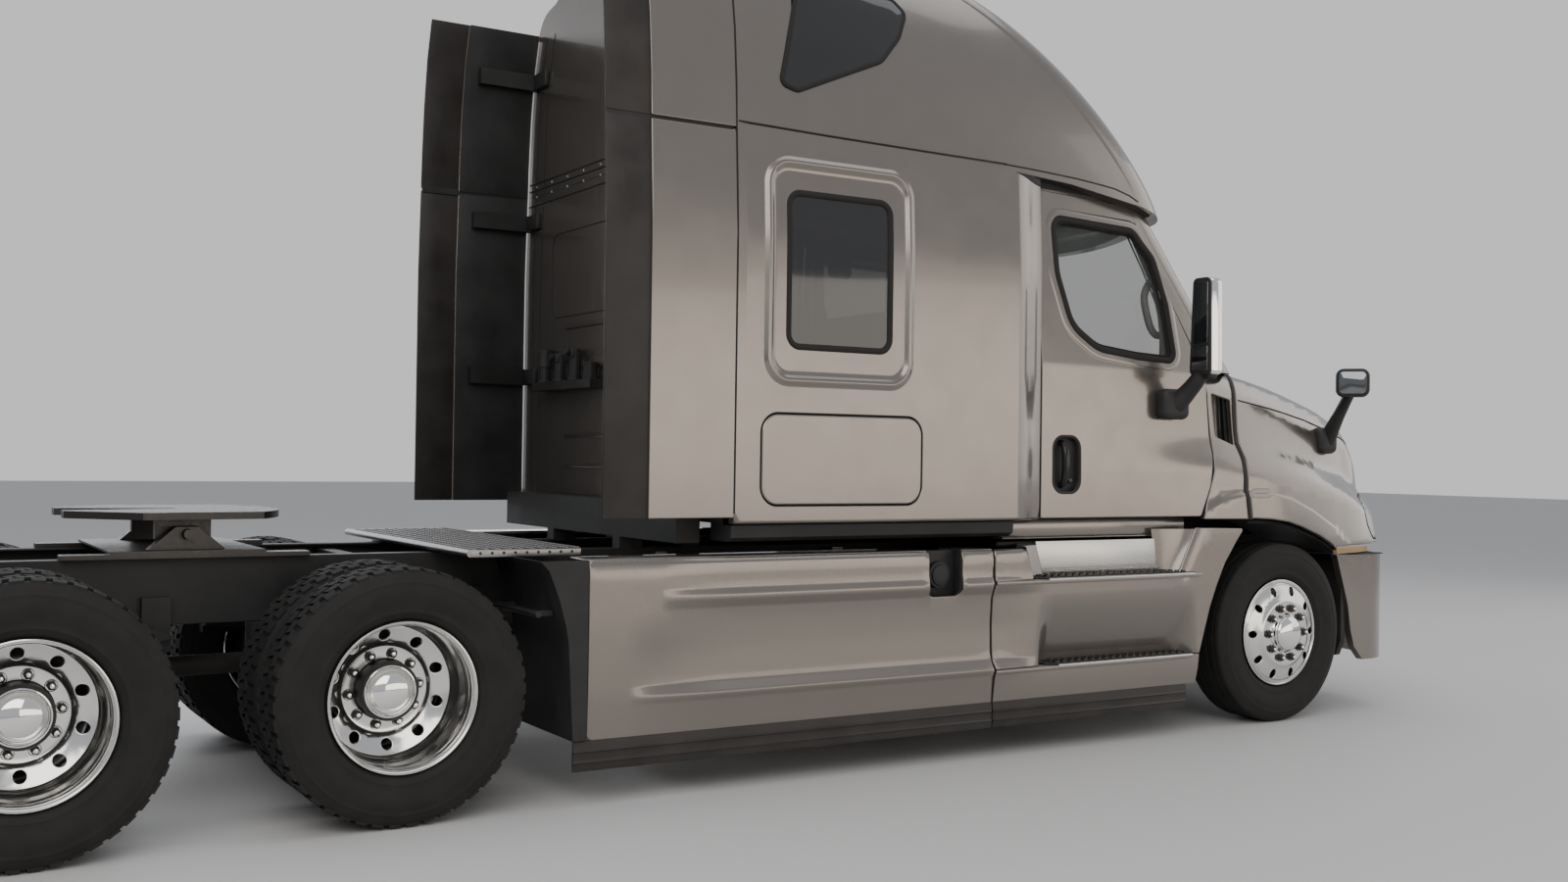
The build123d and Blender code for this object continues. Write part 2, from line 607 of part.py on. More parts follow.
def tyre(centre_y):
    """A road tyre: beads, bulged sidewalls, shoulders and a flat tread band."""
    half, r, rim = TYRE_WIDTH / 2, TYRE_RADIUS, RIM_RADIUS
    side = [(98, rim - 14.5), (99, rim + 2), (112, rim + 8), (half, rim + 100), (0.93 * half, r - 40),
            (0.84 * half, r - 8), (0.78 * half, r)]
    return lathe(side + [(-y, radius) for y, radius in reversed(side)], centre_y)


def wheel_rim(centre_y, disc_y):
    """A rim: two flanges, a dropped centre and a mounting disc with ten hand holes, all in one ring."""
    half, r = 0.80 * TYRE_WIDTH / 2, RIM_RADIUS
    barrel = [
        (-half, r), (-half - 6, r - 6), (-half, r - 16), (-half + 30, r - 22), (half - 30, r - 22),
        (half, r - 16), (half + 6, r - 6), (half, r), (half - 14, r - 15), (-half + 14, r - 15),
    ]
    out = 1 if disc_y > centre_y else -1
    disc = [
        (disc_y, 112), (disc_y, 170), (disc_y - out * 34, r - 30), (disc_y - out * 34, r - 18),
        (disc_y - out * 50, r - 18), (disc_y - out * 50, r - 40),
        (disc_y - out * 20, 168), (disc_y - out * 20, 112),
    ]
    holes = [Pos(217 * cos(radians(a)), disc_y - out * 30, 217 * sin(radians(a))) * Rot(90, 0, 0)
             * Cylinder(26, 90) for a in range(0, 360, 36)]
    return lathe(barrel, centre_y) + (lathe(disc) - holes)


def steering_knuckle():
    """Spindle, brake backing plate, yoke with the kingpin, and the arm that the tie rod pulls."""
    down = Location((0, 0, -TYRE_RADIUS))
    spindle = lathe([(924, 60), (924, 0.1), (1095, 0.1), (1095, 30), (1000, 44), (936, 44)])
    backing = lathe([(922, 0.1), (922, 200), (936, 200), (936, 0.1)])
    yoke = block((-60, 60), (922, 936), (392, 618)).moved(down)
    lugs = [block((-55, 55), (846, 930), (z, z + 26)).moved(down) for z in (392, 592)]
    pin = Pos(0, KINGPIN_Y, 0) * Cylinder(22, 226)
    arm = block((TIE_ROD_X - 20, -50), (TIE_ROD_Y - 16, TIE_ROD_Y + 16), (400, 418)).moved(down)
    stud = (Pos(TIE_ROD_X, TIE_ROD_Y, 381) * Cylinder(10, 40)).moved(down)
    return spindle.fuse(backing, yoke, *lugs, pin, arm, stud)


def build_front_wheels():
    # The hub, with the brake drum behind it
    hub = [(944, 48), (944, 205), (1040, 205), (1040, 120), (1075, 112), (1160, 112), (1168, 90), (1215, 84),
           (1228, 60), (1228, 0.1), (1100, 0.1), (1100, 48)]
    wheel = wheel_rim(STEER_TYRE_Y, STEER_TYRE_Y + 96).fuse(lathe(hub))
    front_tyre = tyre(STEER_TYRE_Y)
    knuckle = steering_knuckle()
    ends = [Pos(TIE_ROD_X, y, 378) * (Cylinder(26, 34) - Cylinder(10.5, 40)) for y in (TIE_ROD_Y, -TIE_ROD_Y)]
    bar = rod((TIE_ROD_X, TIE_ROD_Y - 20, 378), (TIE_ROD_X, 20 - TIE_ROD_Y, 378), 15)
    nodes["tie_rod"] = ends[0].fuse(ends[1], bar)
    up = Location((0, 0, TYRE_RADIUS))
    for side, turn in SIDES:
        nodes[f"front_tyre_{side}"] = turn(front_tyre.moved(up))
        nodes[f"front_wheel_{side}"] = turn(wheel.moved(up))
        nodes[f"knuckle_{side}"] = turn(knuckle.moved(up))


def build_drive_wheels():
    outer = wheel_rim(OUTER_DUAL_Y, OUTER_DUAL_Y - 150)
    inner = wheel_rim(INNER_DUAL_Y, INNER_DUAL_Y + 150)
    # The hub, with the brake drum behind it
    hub = [(700, 95), (700, 205), (830, 205), (830, 155), (880, 160), (882, 170), (928, 170), (932, 118),
           (1010, 112), (1040, 100), (1060, 60), (1064, 0.1), (1010, 0.1), (1010, 95)]
    wheel = outer.fuse(inner, lathe(hub))
    tyres = together(tyre(OUTER_DUAL_Y), tyre(INNER_DUAL_Y))
    for name, x in zip(("front", "rear"), DRIVE_AXLES):
        place = Location((x, 0, TYRE_RADIUS))
        for side, turn in SIDES:
            nodes[f"drive_tyres_{name}_{side}"] = turn(tyres.moved(place))
            nodes[f"drive_wheel_{name}_{side}"] = turn(wheel.moved(place))


# Chassis


def rail_profile():
    """A channel that opens inwards, as (y, z)."""
    inner, outer, wall = RAIL_INNER_Y, RAIL_OUTER_Y, RAIL_THICKNESS
    low, high = RAIL_BOTTOM, RAIL_TOP
    return [(outer, low), (outer, high), (inner, high), (inner, high - wall), (outer - wall, high - wall),
            (outer - wall, low + wall), (inner, low + wall), (inner, low)]


def build_chassis():
    nodes["frame_rails"] = pair(prism_x(rail_profile(), RAIL_REAR, RAIL_FRONT))
    members = []
    for x, low in CROSSMEMBERS:
        web = block((x, x + 12), (-422, 422), (low, 990))
        hole = Pos(x, 0, (low + 990) / 2) * Rot(0, 90, 0) * Cylinder((990 - low) * 0.3, 100)
        flanges = block((x, x + 70), (-422, 422), (978, 990))
        flanges = flanges + block((x, x + 70), (-422, 422), (low, low + 12))
        members.append((web - hole) + flanges)
    nodes["crossmembers"] = together(*members, pair(bumper_bracket()))

    beam = prism_x([(-800, 470), (-520, 400), (520, 400), (800, 470), (880, 470), (880, 545), (790, 545),
                    (510, 470), (-510, 470), (-790, 545), (-880, 545), (-880, 470)], -32, 32)
    eye = Pos(0, KINGPIN_Y, 505) * Cylinder(34, 168)
    bore = Pos(0, KINGPIN_Y, 505) * Cylinder(23, 300)
    beam = beam + eye + mirrored(eye)
    waist = block((14, 60), (-500, 500), (415, 455)) + block((-60, -14), (-500, 500), (415, 455))
    nodes["front_axle_beam"] = beam - waist - bore - mirrored(bore)

    steps = [(640 - i * 90, 482 + i * 16) for i in range(4)]
    leaves = [block((-reach, reach), (400, 480), (z, z + 14)) for reach, z in steps]
    spring = leaves[0].fuse(*leaves[1:], block((-60, 60), (395, 485), (470, 560)))
    hangers = [block((x, x + 60), (RAIL_OUTER_Y, 470), (496, 800)) for x in (-640, 580)]
    nodes["front_springs"] = pair(largest(spring.fuse(*hangers)))

    housings = []
    for x in DRIVE_AXLES:
        arm = [(1000, 0.1), (1000, 60), (690, 62), (600, 75), (260, 85), (180, 200)]
        tube = [(-y, r) for y, r in arm] + [(0, 225)] + list(reversed(arm))
        carrier = Pos(230, 0, 0) * Rot(0, 90, 0) * Cylinder(110, 260)
        housings.append((lathe(tube) + carrier).moved(Location((x, 0, TYRE_RADIUS))))
    nodes["drive_axles"] = together(*housings)

    arms = []
    for x in DRIVE_AXLES:
        seat = block((x - 70, x + 70), (440, 560), (590, 640))
        profile = [(590, 700), (520, 742), (60, 640), (-430, 640), (-430, 605), (60, 595)]
        arm = prism_y([(x + dx, z) for dx, z in profile], 440, 520)
        bag = Pos(x - 320, 430, 692) * Cylinder(110, 104)
        hanger = block((x + 480, x + 590), (RAIL_OUTER_Y, 470), (640, 860))
        arms.append(largest(seat.fuse(arm, bag, hanger)))
    nodes["rear_suspension"] = together(*[pair(a) for a in arms])

    # The engine is a plain mass on two mounts that reach the rails' webs.
    front = block((-290, 620), (-330, 330), (640, 1480))
    rear = block((-900, -290), (-330, 330), (640, 1120))
    web_y = RAIL_OUTER_Y - RAIL_THICKNESS
    nodes["engine_block"] = front.fuse(rear, block((100, 200), (-web_y, web_y), (800, 860)))
    gearbox = block((-1800, -900), (-250, 250), (700, 1080))
    shaft = rod((-1800, 0, 820), (-4704, 0, 560), 55)
    link = rod((-5300, 0, 520), (-6027, 0, 515), 45)
    nodes["driveline"] = together(largest(gearbox + shaft), link)
    core = block((698, 860), (-520, 520), (1020, 1450))
    nodes["radiator"] = core + block((698, 860), (-345, 345), (720, 1020))
    tank = Pos(-3100, 800, 640) * Rot(0, 90, 0) * Cylinder(310, 1500)
    straps = [lathe_x(x, 800, 640, 312, 322) for x in (-3600, -2600)]
    brackets = [block((x, x + 60), (RAIL_OUTER_Y, 520), (560, 1000)) for x in (-3640, -2630)]
    # Blocks on the straps carry the fairing.
    standoffs = [block((x, x + 60), (1100, 1155), (625, 655)) for x in (-3630, -2630)]
    nodes["fuel_tanks"] = pair(tank.fuse(*straps, *brackets, *standoffs))
    battery = block((-1880, -1020), (480, 1090), (330, 1000))
    batteries = pair(battery + block((-1700, -1200), (RAIL_OUTER_Y, 490), (800, 1000)))
    nodes["chassis_boxes"] = together(batteries, *rear_wall_fittings())

    deck = block((-4720, -4200), (-900, 900), (1035, 1055))
    slots = [block((-4700 + i * 52, -4675 + i * 52), (-870, -20), (1000, 1100)) for i in range(10)]
    slots += [mirrored(s) for s in slots]
    legs = [block((-4480, -4440), (y, y + 80), (1015, 1035)) for y in (-430, 350)]
    nodes["deck_plate"] = deck.fuse(*legs) - slots

    liner = [*GUARD_EDGE, *[(x + 16, z) for x, z in reversed(GUARD_EDGE)]]
    panel = [*GUARD_EDGE, (FAIRING_REAR - 5, GUARD_EDGE[-1][1]), (FAIRING_REAR - 5, GUARD_EDGE[0][1])]
    guard = prism_y(liner, 620, 1200).fuse(prism_y(panel, 1190, 1212))
    arms = [block((-4505, -4425), (y, y + 20), (788, 812)) for y in (700, 1100)]
    guard = guard.fuse(rod((-4500, 470, 800), (-4500, 1150, 800), 14), *arms)
    flap = block((-7225, -7215), (600, 1210), (260, 900))
    flap = flap + block((-7225, -7150), (RAIL_OUTER_Y, 1210), (900, 940))
    nodes["mudguards"] = together(pair(guard), pair(flap))
    nodes["rear_lamp_bar"] = block((REAR_END, RAIL_REAR), (-560, 560), (700, 800))


def lathe_x(x, y, z, inner, outer):
    ring = Cylinder(outer, 60) - Cylinder(inner, 80)
    return Pos(x, y, z) * Rot(0, 90, 0) * ring


def build_fifth_wheel():
    rails = [block((FIFTH_X - 480, FIFTH_X + 480), (y, y + 90), (1015, 1035)) for y in (-470, 380)]
    plate = block((FIFTH_X - 300, FIFTH_X + 300), (-470, 470), (1035, 1047))
    towers = []
    for y in (-400, 330):
        side = [(FIFTH_X + dx, z) for dx, z in ((-150, 1047), (150, 1047), (45, 1140), (-45, 1140))]
        towers.append(prism_y(side, y, y + 70))
    pin_bores = Pos(FIFTH_X, 0, FIFTH_PIVOT_Z) * Rot(90, 0, 0) * Cylinder(21, 900)
    nodes["fifth_wheel_base"] = plate.fuse(*rails, *towers) - pin_bores

    z = FIFTH_TOP - 30
    front = ThreePointArc((FIFTH_X + 300, 420, z), (FIFTH_X + 440, 0, z), (FIFTH_X + 300, -420, z))
    edges = [
        front,
        Line((FIFTH_X + 300, -420, z), (FIFTH_X - 180, -460, z)),
        Line((FIFTH_X - 180, -460, z), (FIFTH_X - 440, -200, z)),
        Line((FIFTH_X - 440, -200, z), (FIFTH_X - 440, 200, z)),
        Line((FIFTH_X - 440, 200, z), (FIFTH_X - 180, 460, z)),
        Line((FIFTH_X - 180, 460, z), (FIFTH_X + 300, 420, z)),
    ]
    top = extrude(outline_face(edges), amount=30, dir=(0, 0, 1))
    throat = prism_z([(FIFTH_X, -KINGPIN_RADIUS), (FIFTH_X, KINGPIN_RADIUS), (FIFTH_X - 500, 130),
                      (FIFTH_X - 500, -130)], 1000, 1300)
    bore = Pos(FIFTH_X, 0, FIFTH_TOP) * Cylinder(KINGPIN_RADIUS, 300)
    x_low, x_high = FIFTH_X - 110, FIFTH_X + 110
    skirts = [block((x_low, x_high), (y, y + 40), (FIFTH_PIVOT_Z - 25, z)) for y in (-310, 270)]
    pins = [Pos(FIFTH_X, y, FIFTH_PIVOT_Z) * Rot(90, 0, 0) * Cylinder(20, 170) for y in (-355, 355)]
    nodes["fifth_wheel_plate"] = top.fuse(*skirts, *pins) - throat - bore


# Interior

COLUMN_TOP = (-1090, 520, 1861)


def build_interior():
    seats = []
    for y in (-520, 520):
        base = block((-1650, -1250), (y - 200, y + 200), (1210, 1500))
        cushion = rounded_box((-1700, -1180), (y - 260, y + 260), (1500, 1640), 45)
        back = prism_y([(-1700, 1600), (-1580, 1600), (-1740, 2320), (-1830, 2300)], y - 240, y + 240)
        seats.append(base.fuse(cushion, back))
    nodes["seats"] = together(*seats)
    nodes["bunk"] = block((SLEEPER_REAR + WALL, -2750), (-1100, 1100), (1680, 1880))
    profile = [
        (-960, 1260), (-960, 1760), (-860, 1850), (-500, 1900), (-400, 1860), (-400, 1210), (-700, 1210),
    ]
    dash = prism_y(profile, -1040, 1040)
    nodes["dashboard"] = dash - rod(COLUMN_TOP, (-905, 520, 1756), 34)
    # The rim is an eight-sided section turned about the column.
    section = [(215 + 16 * cos(radians(a)), 0, 16 * sin(radians(a))) for a in range(0, 360, 45)]
    rim = revolve(make_face(Polyline(*section, close=True)), axis=Axis.Z)
    hub = Cylinder(62, 34)
    spoke = Box(30, 424, 20)
    wheel = Pos(*COLUMN_TOP) * Rot(0, 60, 0) * rim.fuse(hub, spoke)
    column = rod(COLUMN_TOP, (-930, 520, 1770), 30)
    nodes["steering_wheel"] = largest(wheel + column)


def build_mirrors():
    head = rounded_box((-860, -760), (1265, 1405), (1925, 2435), 35)
    arm = rod((-805, 1325, 1950), (-880, 1190, 1790), 34)
    foot = rounded_box((-985, -790), (1125, 1215), (1690, 1850), 25)
    mirror_set = head.fuse(arm, foot) - lower_cab_solid(0)
    handle = rounded_box((-1655, -1615), (1110, 1165), (1310, 1570), 12) - lower_cab_solid(RECESS_DEPTH)
    for side, turn in SIDES:
        nodes[f"door_mirror_{side}"] = turn(together(largest(mirror_set), handle))


def export():
    """Move every piece to the row frame and write it."""
    os.makedirs("parts", exist_ok=True)
    shift = Location((AXLE_TO_ORIGIN, 0, 0))
    for name, shape in nodes.items():
        moved = shape.moved(shift)
        solids = moved.solids()
        litres = sum(s.volume for s in solids) / 1e6
        print(f"{name:28s} {len(solids)} solids, valid {moved.is_valid}, {litres:.1f} l")
        export_step(solids[0] if len(solids) == 1 else Compound(children=solids), f"parts/{name}.step")


build_body()
build_hood()
build_bumper()
skirts = build_fairings()
build_extenders(skirts)
build_front_wheels()
build_drive_wheels()
build_chassis()
build_fifth_wheel()
build_interior()
build_mirrors()
export()
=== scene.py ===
"""Looks of a long-bonnet semi truck tractor unit with a raised-roof sleeper.

Metres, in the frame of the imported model. Lengths along the truck are written from the front axle, as the
solids were laid out, and at() moves them to the frame. A panel is drawn flat, as an outline with holes and
feature lines, then lifted onto the body's surface, so that its edges and pressed lines are real shapes.
"""

import json
import math

import bmesh
import bpy
import numpy as np
from mathutils import Matrix, Vector
from mathutils.geometry import delaunay_2d_cdt

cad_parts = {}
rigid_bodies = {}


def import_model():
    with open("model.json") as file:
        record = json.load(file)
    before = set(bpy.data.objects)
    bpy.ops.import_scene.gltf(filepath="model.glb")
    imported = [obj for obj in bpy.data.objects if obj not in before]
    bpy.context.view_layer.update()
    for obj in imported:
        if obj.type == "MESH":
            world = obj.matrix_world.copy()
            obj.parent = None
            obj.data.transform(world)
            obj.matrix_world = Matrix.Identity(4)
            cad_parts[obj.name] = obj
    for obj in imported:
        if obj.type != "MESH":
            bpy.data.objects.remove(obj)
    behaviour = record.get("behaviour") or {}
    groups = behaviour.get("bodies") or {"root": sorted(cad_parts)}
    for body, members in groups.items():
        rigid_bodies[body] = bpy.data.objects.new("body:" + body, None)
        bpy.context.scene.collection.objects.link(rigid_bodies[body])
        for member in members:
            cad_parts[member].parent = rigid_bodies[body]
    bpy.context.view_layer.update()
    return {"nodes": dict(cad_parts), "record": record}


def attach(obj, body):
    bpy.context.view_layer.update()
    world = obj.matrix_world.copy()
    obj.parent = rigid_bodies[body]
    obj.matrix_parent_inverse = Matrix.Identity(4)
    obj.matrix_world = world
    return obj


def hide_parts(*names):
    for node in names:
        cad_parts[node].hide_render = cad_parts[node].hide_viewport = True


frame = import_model()

AXLE_X = 2.98
TAU = 2 * math.pi


def at(x, y=0.0, z=0.0):
    """A point written from the front axle, in the frame."""
    return Vector((x + AXLE_X, y, z))


# Camera, at the photograph's viewing angle

CAMERA_PLACE = (-6.956, -6.961, 1.4705)
CAMERA_YAW = math.radians(31.996)
CAMERA_PITCH = math.radians(0.512)
CAMERA_ROLL = math.radians(0.828)
FOCAL_PIXELS = 1547.73
PHOTO_WIDTH = 1600
SENSOR = 36.0


def make_camera():
    data = bpy.data.cameras.new("camera")
    data.sensor_width = SENSOR
    data.lens = FOCAL_PIXELS / PHOTO_WIDTH * SENSOR
    data.clip_start, data.clip_end = 0.1, 200.0
    camera = bpy.data.objects.new("camera", data)
    bpy.context.collection.objects.link(camera)
    yaw, pitch = CAMERA_YAW, CAMERA_PITCH
    forward = Vector((math.sin(yaw) * math.cos(pitch), math.cos(yaw) * math.cos(pitch), math.sin(pitch)))
    right = Vector((math.cos(yaw), -math.sin(yaw), 0.0))
    up = right.cross(forward)
    turned_right = right * math.cos(CAMERA_ROLL) + up * math.sin(CAMERA_ROLL)
    turned_up = up * math.cos(CAMERA_ROLL) - right * math.sin(CAMERA_ROLL)
    matrix = Matrix((turned_right, turned_up, -forward)).transposed().to_4x4()
    matrix.translation = at(*CAMERA_PLACE)
    camera.matrix_world = matrix
    bpy.context.scene.camera = camera


# Materials

SOCKETS = {
    "color": "Base Color", "rough": "Roughness", "metal": "Metallic", "coat": "Coat Weight",
    "coat_rough": "Coat Roughness", "ior": "IOR", "alpha": "Alpha", "specular": "Specular IOR Level",
    "sheen": "Sheen Weight",
}
DUST, RUBBER_DUST = (0.17, 0.155, 0.14, 1.0), (0.11, 0.1, 0.088, 1.0)


class Nodes:
    """A short way to write the node tree of a material or a world."""

    def __init__(self, owner):
        owner.use_nodes = True
        self.owner = owner
        self.tree = owner.node_tree
        self.shader = self.tree.nodes.get("Principled BSDF")
        self.coords = None

    def fill(self, node, inputs):
        """Sets a node's inputs to values, or links them to sockets."""
        for key, value in inputs.items():
            if hasattr(value, "links"):
                self.tree.links.new(value, node.inputs[key])
            else:
                node.inputs[key].default_value = value

    def add(self, kind, inputs=(), **settings):
        node = self.tree.nodes.new(kind)
        for key, value in settings.items():
            setattr(node, key, value)
        self.fill(node, dict(inputs))
        return node

    def place(self):
        """Object coordinates, in metres."""
        if self.coords is None:
            self.coords = self.add("ShaderNodeTexCoord").outputs["Object"]
        return self.coords

    def noise(self, scale, detail=3.0, rough=0.5, vector=None):
        inputs = {"Vector": vector or self.place(), "Scale": scale, "Detail": detail, "Roughness": rough}
        return self.add("ShaderNodeTexNoise", inputs).outputs["Fac"]

    def ramp(self, value, low, high, out_low=0.0, out_high=1.0):
        inputs = {"Value": value, "From Min": low, "From Max": high, "To Min": out_low, "To Max": out_high}
        return self.add("ShaderNodeMapRange", inputs).outputs["Result"]

    def math(self, operation, a, b):
        return self.add("ShaderNodeMath", {0: a, 1: b}, operation=operation).outputs[0]

    def mix(self, factor, a, b):
        return self.add("ShaderNodeMix", {0: factor, 6: a, 7: b}, data_type="RGBA").outputs[2]

    def bump(self, height, strength, distance):
        node = self.add("ShaderNodeBump", {"Height": height, "Strength": strength, "Distance": distance})
        self.tree.links.new(node.outputs["Normal"], self.shader.inputs["Normal"])

    def set(self, **values):
        self.fill(self.shader, {SOCKETS[key]: value for key, value in values.items()})


# Blender's own name of each material, which has a number where the name was taken, and the name given here
GIVEN_NAMES = {}


def new_material(name):
    material = bpy.data.materials.new(name)
    GIVEN_NAMES[material.name] = name
    return Nodes(material)


def paint_material(name, base, deep):
    """Metallic body paint: fine flake, a clear coat, and road film low down and along lower edges."""
    n = new_material(name)
    flake = n.noise(900.0, 1.0)
    cloud = n.noise(1.3, 3.0)
    height = n.add("ShaderNodeSeparateXYZ", {"Vector": n.place()}).outputs["Z"]
    film = n.ramp(n.math("ADD", height, n.math("MULTIPLY", cloud, 0.5)), 0.35, 1.5, 1.0, 0.0)
    color = n.mix(n.ramp(flake, 0.35, 0.7), (*deep, 1.0), (*base, 1.0))
    uneven = n.ramp(n.noise(7.0, 4.0), 0.3, 0.8, -0.02, 0.05)
    n.set(color=n.mix(n.math("MULTIPLY", film, 0.35), color, DUST), metal=0.82, coat=0.7, coat_rough=0.06,
          rough=n.math("ADD", n.ramp(film, 0.0, 1.0, 0.22, 0.42), uneven))
    n.bump(n.noise(14.0, 1.0), 0.05, 0.002)
    return n.owner


def plastic_material(name, base, rough=0.5, grain=900.0, strength=0.25, metal=0.0):
    n = new_material(name)
    worn = n.noise(5.0, 4.0)
    lighter = [min(1.0, c * 1.7 + 0.012) for c in base]
    n.set(color=n.mix(n.ramp(worn, 0.35, 0.8, 0.0, 0.6), (*base, 1.0), (*lighter, 1.0)), metal=metal,
          rough=n.ramp(worn, 0.3, 0.8, rough - 0.06, rough + 0.12), specular=0.3)
    n.bump(n.noise(grain, 2.0), strength, 0.0006)
    return n.owner


def metal_material(name, base, rough=0.15, streak=None):
    """Bare metal; streak stretches its fine scratches, as a scale along each axis."""
    n = new_material(name)
    vector = n.place()
    if streak:
        vector = n.add("ShaderNodeMapping", {"Vector": vector, "Scale": streak}).outputs["Vector"]
    scratch = n.noise(60.0, 4.0, vector=vector)
    darker = [c * 0.7 for c in base]
    dulled = n.ramp(n.noise(4.0, 3.0), 0.3, 0.8, 0.0, 0.15)
    n.set(color=n.mix(dulled, (*base, 1.0), (*darker, 1.0)), metal=1.0,
          rough=n.ramp(scratch, 0.25, 0.8, rough * 0.8, rough * 1.3))
    n.bump(scratch, 0.02, 0.0008)
    return n.owner


def rubber_material(name, base, dust):
    n = new_material(name)
    worn = n.noise(9.0, 5.0, 0.6)
    n.set(color=n.mix(n.ramp(worn, 0.4, 0.75, 0.0, dust), (*base, 1.0), RUBBER_DUST),
          rough=n.ramp(worn, 0.3, 0.8, 0.62, 0.88), specular=0.25)
    n.bump(n.noise(260.0, 3.0), 0.3, 0.0008)
    return n.owner


def glass_material(name, base, alpha, rough=0.03):
    n = new_material(name)
    smear = n.noise(3.5, 4.0, 0.6)
    n.set(color=(*base, 1.0), rough=n.ramp(smear, 0.35, 0.8, rough, rough + 0.06), metal=0.0, ior=1.5,
          alpha=alpha, specular=0.6, coat=0.5, coat_rough=0.03)
    n.bump(n.noise(1.2, 2.0), 0.02, 0.01)
    return n.owner


def fabric_material(name, base, weave):
    n = new_material(name)
    wave = n.add("ShaderNodeTexWave", {"Vector": n.place(), "Scale": weave, "Distortion": 1.5}).outputs["Fac"]
    cell = n.noise(weave * 2.0, 2.0)
    lighter = [c * 2.0 for c in base]
    n.set(color=n.mix(n.math("MULTIPLY", wave, cell), (*base, 1.0), (*lighter, 1.0)), rough=0.9, sheen=0.3)
    n.bump(cell, 0.4, 0.002)
    return n.owner


PAINT = paint_material("paint", (0.275, 0.245, 0.218), (0.215, 0.191, 0.169))
CHASSIS = plastic_material("chassis_black", (0.016, 0.0155, 0.015), 0.5, 300.0, 0.3)
BLACK = plastic_material("black_plastic", (0.018, 0.018, 0.018), 0.48)
GLOSS_BLACK = plastic_material("gloss_black", (0.012, 0.012, 0.012), 0.14, 80.0, 0.02)
TRIM = plastic_material("trim_grey", (0.13, 0.125, 0.115), 0.6)
RUBBER = rubber_material("rubber", (0.016, 0.015, 0.0145), 0.1)
STRIP = plastic_material("strip_plastic", (0.024, 0.021, 0.019), 0.42, 260.0, 0.08)
TYRE = rubber_material("tyre", (0.014, 0.0135, 0.013), 0.12)
ALUMINIUM = metal_material("aluminium", (0.78, 0.77, 0.75), 0.16)
CHROME = metal_material("chrome", (0.9, 0.89, 0.87), 0.05)
TREAD_METAL = metal_material("tread_metal", (0.66, 0.65, 0.63), 0.3, (1.0, 12.0, 12.0))
STEEL = metal_material("steel", (0.075, 0.07, 0.066), 0.42)
GRATING = metal_material("grating_metal", (0.33, 0.325, 0.32), 0.36)
IRON = plastic_material("cast_iron", (0.05, 0.047, 0.044), 0.66, 120.0, 0.5, 0.4)
CLEAR = glass_material("clear_glass", (0.09, 0.11, 0.1), 0.28)
DARK_GLASS = glass_material("dark_glass", (0.012, 0.012, 0.012), 0.96)
LAMP_GLASS = glass_material("lamp_glass", (0.9, 0.9, 0.9), 0.35)
# The mirror glass is made dark: its colour is a painted reflection of dark surroundings.
MIRROR = metal_material("mirror_glass", (0.2, 0.21, 0.22), 0.03)
AMBER = glass_material("amber_lamp", (0.42, 0.26, 0.11), 0.92)
FABRIC = fabric_material("fabric", (0.06, 0.06, 0.065), 120.0)

# The record's slots have the names of these materials; the other materials each stand for one of the slots.
OF_A_SLOT = (PAINT, CHASSIS, BLACK, RUBBER, TYRE, ALUMINIUM, IRON, STEEL, CLEAR, DARK_GLASS, LAMP_GLASS,
             TRIM, FABRIC)
SLOT_MATERIALS = {GIVEN_NAMES[m.name]: m for m in OF_A_SLOT}
STANDS_FOR = {
    "gloss_black": "black_plastic", "strip_plastic": "rubber", "chrome": "aluminium",
    "tread_metal": "aluminium", "grating_metal": "aluminium", "mirror_glass": "dark_glass",
    "amber_lamp": "lamp_glass",
}
SLOT_OF = {part["node"]: part["material_slot"] for part in frame["record"]["subparts"]}
BODY_OF = {name: node.parent.name.removeprefix("body:") for name, node in frame["nodes"].items()}


def dress_frame():
    """Every solid that stays in view gets the material of its slot."""
    for name, slot in SLOT_OF.items():
        node = frame["nodes"][name]
        node.data.materials.clear()
        node.data.materials.append(SLOT_MATERIALS[slot])


# Shapes in mesh code

SHARP_ANGLE = math.radians(35.0)


